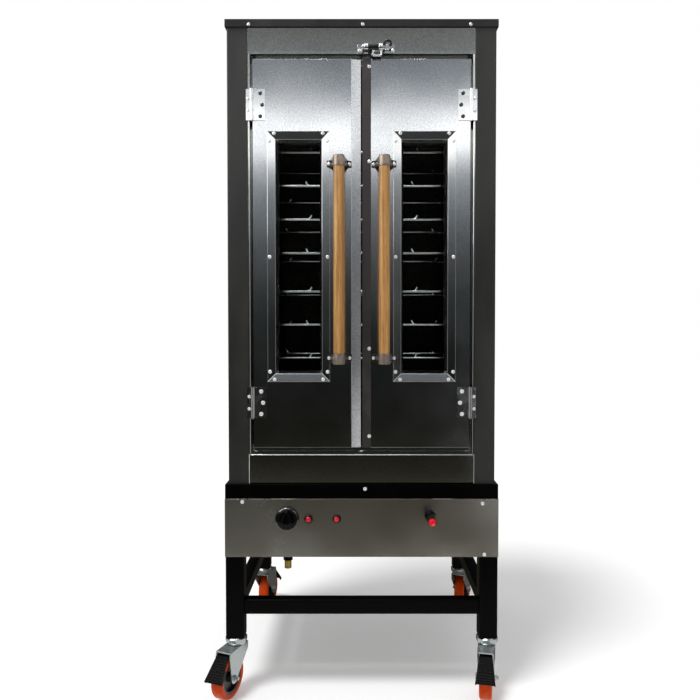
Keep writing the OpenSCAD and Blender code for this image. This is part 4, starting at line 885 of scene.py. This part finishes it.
# %% Igniter
spark_x, spark_z = centre_of("igniter_button")[[0, 2]]
mouth = panel_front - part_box("igniter_body")[0][1] * 1000
tube = [(0, -30), (8, -30), (8, 0), (13.1, 0), (13.5, 0.4), (13.5, 2.6), (13.0, 3.1), (11.4, 3.5),
        (10.8, 5.2), (10.3, 7), (10.3, 12), (10.5, 12.6), (10.5, mouth - 9), (10.0, mouth - 8.4),
        (10.0, mouth - 7), (10.5, mouth - 6.4), (10.5, mouth - 1.2), (9.9, mouth), (8.9, mouth),
        (8.85, mouth - 20), (0, mouth - 20)]
igniter_tube = turned("igniter_tube", tube, igniter_plastic, (spark_x, panel_front, spark_z), "front", 48)
stands_for(igniter_tube, "cabinet", "igniter_body")
cap = [(0, -12), (8.75, -12), (8.75, -0.6), (8.0, 0), (8.0, 6.6), (7.7, 7.9), (6.9, 8.7), (5.9, 8.6),
       (4.8, 7.6), (3.6, 6.6), (0, 6.2)]
button_cap = turned("igniter_cap", cap, button_plastic, (spark_x, panel_front - mouth, spark_z), "front", 48)
stands_for(button_cap, "button", "igniter_button")
print("igniter stands out", round(mouth, 1), "mm")

# %% [markdown]
# ## Handles
# Each grip is a length of turned softwood, a little fatter in the middle. Its ends sit in sleeves pressed
# from thin bronze-lacquered strip, whose flutes stiffen them. A flute is a shallow ripple in the radius of
# a turned wall.


# %% Grips and fluted sleeves
def flutes(a):
    """Ridges 0.5 mm high, ten round the sleeve: 0.5 |cos 5a| ^ 0.7."""
    return 0.5 * np.abs(np.cos(5 * a)) ** 0.7


sleeve_l = 25
for side in ("left", "right"):
    node = side + "_handle_brackets"
    low_mm, high_mm = (np.array(v) * 1000 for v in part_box(node))
    grip_mid = centre_of(side + "_handle_grip")
    axis_place = (grip_mid[0], grip_mid[1], 0)
    foot_z, head_z = low_mm[2], high_mm[2]
    a_z, b_z = foot_z + sleeve_l, head_z - sleeve_l
    lower_end = [(0, a_z), (11.6, a_z), (12.5, a_z + 1), (12.8, a_z + 4), (13.0, a_z + 60)]
    upper_end = [(r, a_z + b_z - z) for r, z in lower_end[::-1]]
    wood = lower_end + [(13.2, (a_z + b_z) / 2)] + upper_end
    grip = turned(side + "_grip", wood, grip_wood, axis_place, "up", 48)
    stands_for(grip, side + "_door", side + "_handle_grip")
    for end, (start, way) in {"lower": (foot_z, 1), "upper": (head_z, -1)}.items():
        wall = [(0, 0.02), (11.4, 0.02), (12.6, 0.6), (13.05, 1.8), (13.05, 24.2), (12.9, 25.0), (12.4, 25.2),
                (12.4, 20)]
        profile = [(r, start + way * h) for r, h in wall]
        sleeve = turned(f"{side}_{end}_sleeve", profile, sleeve_bronze, axis_place, "up", 100, flutes, 50)
        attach(sleeve, side + "_door")
print("grips", round(b_z - a_z), "mm long")

# %% [markdown]
# ## Latch
# The latch is a die-cast drop bar: a black barrel turns between two chrome ears, a chrome tongue hangs from
# it in front of the doors, and a bent finger lever turns it. The lever is a round bar carried along an arc,
# and rounded off at its tip.

# %% Barrel and pin of the latch
bar_x, bar_y, bar_z = 28.0, -263.5, 1543.0
barrel = [(0, -21.8), (6.8, -21.8), (7.8, -21), (7.8, 20), (7.4, 21.8), (0, 21.8)]
latch_barrel = turned("latch_barrel", barrel, lever_paint, (bar_x, bar_y, bar_z), "right", 40)
stands_for(latch_barrel, "latch", "latch_lever")
collar = [(7.0, -4.5), (8.1, -4.5), (8.5, -4), (8.5, -2.2), (8.0, -1.7), (8.0, 1.7), (8.5, 2.2), (8.5, 4),
          (8.1, 4.5), (7.0, 4.5)]
for k, x in enumerate((bar_x - 17.2, bar_x + 17.2)):
    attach(turned(f"latch_collar_{k}", collar, latch_chrome, (x, bar_y, bar_z), "right", 40), "latch")
pin = [(0, -28), (2.4, -28), (3, -27.4), (3, 30), (0, 30)]
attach(turned("latch_pin", pin, latch_chrome, (bar_x, bar_y, bar_z), "right", 24), "latch")
print("latch bar", bar_z, "mm over the floor")

# %% Tongue and lever of the latch
plate = np.vstack([arc_points((-8, -16.3), 4, 180, 270), arc_points((8, -16.3), 4, 270, 360),
                   arc_points((10.5, -4), 1.5, 0, 90, 5), arc_points((-10.5, -4), 1.5, 90, 180, 5)])
tongue_levels = [(0.6, 0), (0, 0.6), (0, 3.2), (0.7, 4), (2.0, 4), (3.0, 3.3), (3.8, 3.1)]
tongue_place = (bar_x + 8, bar_y + 2, bar_z - 2)
tongue = lofted("latch_tongue", plate, tongue_levels, latch_chrome, tongue_place, "front")
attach(tongue, "latch")
hub_x = bar_x + 31.9
hub = [(0, -5.2), (4.2, -5.2), (5, -4.4), (5, 3), (4.2, 3.9), (0, 3.9)]
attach(turned("latch_hub", hub, latch_chrome, (hub_x, bar_y, bar_z), "right", 32), "latch")
tilt = math.radians(54)
bow = np.vstack([[(-4.5, -0.5), (-6.3, 3.2)], arc_points((0.6, 8.2), 7.6, 168, -48, 30)])
lever_path = np.column_stack([hub_x + bow[:, 0], bar_y - bow[:, 1] * math.sin(tilt),
                              bar_z + bow[:, 1] * math.cos(tilt)])
share = np.linspace(0, 1, len(bow))
lever_r = (3.2 + 0.5 * share) * np.sqrt(np.clip((1.0 - share) / 0.1, 0.02, 1))
lever = swept("latch_hook", lever_path, lever_r, (0, math.cos(tilt), math.sin(tilt)), lever_paint)
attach(lever, "latch")
print("lever tipped", round(math.degrees(tilt)), "degrees to the front")

# %% [markdown]
# ## Brake pedals
# The pedal is moulded nylon. Low ribs across its face stop a shoe from slipping, and a moulding dot marks
# its middle. The tread is a height field over the plate: u runs across it and v down it.


# %% Pedal treads
def caster_axes(corner):
    """Place of a caster's swivel axis and its own X, Y and Z directions, from the record's joints."""
    swivel = next(j for j in frame["record"]["behaviour"]["joints"] if j["name"] == corner + "_swivel")
    roll = next(j for j in frame["record"]["behaviour"]["joints"] if j["name"] == corner + "_roll")
    across = np.array(roll["axis"], float)
    start = np.array([swivel["pos_m"][0], swivel["pos_m"][1], 0]) * 1000
    return start, across, np.array([-across[1], across[0], 0]), np.array([0, 0, 1.0])


def tread_height(u, v, half_w, pitch=6.0, dot_v=4.0, fade=1.2):
    """Ribs 0.5 max(0, cos(2 pi v / pitch))^0.5 high, faded out at the border, and a dot in the middle."""
    rib = 0.5 * np.sqrt(np.clip(np.cos(2 * math.pi * v / pitch), 0, 1))
    border = np.clip((half_w - np.abs(u) - 2) / fade, 0, 1)
    border = border * np.clip((v + 22) / fade, 0, 1) * np.clip((30 - v) / fade, 0, 1)
    away = np.hypot(u, v - dot_v)
    dot = 1.1 * np.clip((3.2 - away) / 0.8, 0, 1)
    clear = np.clip((away - 4.4) / 0.8, 0, 1)
    return rib * border * clear + dot


trail = 40
wheel_r = 50
pedal_gap = 2
pedal_t = 3.2
pedal_l = 60
pedal_top = -27
root_half_w = 15.8
flare = 7.5
above_plate = 0.03
steps_across, steps_down = 49, 119
slope = math.radians(47.6)
down = np.array([-math.cos(slope), -math.sin(slope)])
outwards = np.array([-math.sin(slope), math.cos(slope)])
plate_mid = np.array([-trail, wheel_r]) + outwards * (wheel_r + pedal_gap + pedal_t)
share, v = np.meshgrid(np.linspace(-1, 1, steps_across), np.linspace(-26.6, 32.6, steps_down),
                       indexing="ij")
half_w = root_half_w + flare * (v - pedal_top) / pedal_l
u = share * half_w
height = tread_height(u, v, half_w) + above_plate
flat = plate_mid[None, None, :] + v[..., None] * down + height[..., None] * outwards
for corner in stand_corners:
    start, across, along, up = caster_axes(corner)
    points = start + u[..., None] * across + flat[..., :1] * along + flat[..., 1:] * up
    faces = grid_faces(steps_across, steps_down, wrap=False)
    tread = put(corner + "_tread", points.reshape(-1, 3) / 1000, faces, pedal_plastic, True)
    close_up(tread, angle=60)
    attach(tread, corner + "_brake")
print("pedal treads:", len(stand_corners))
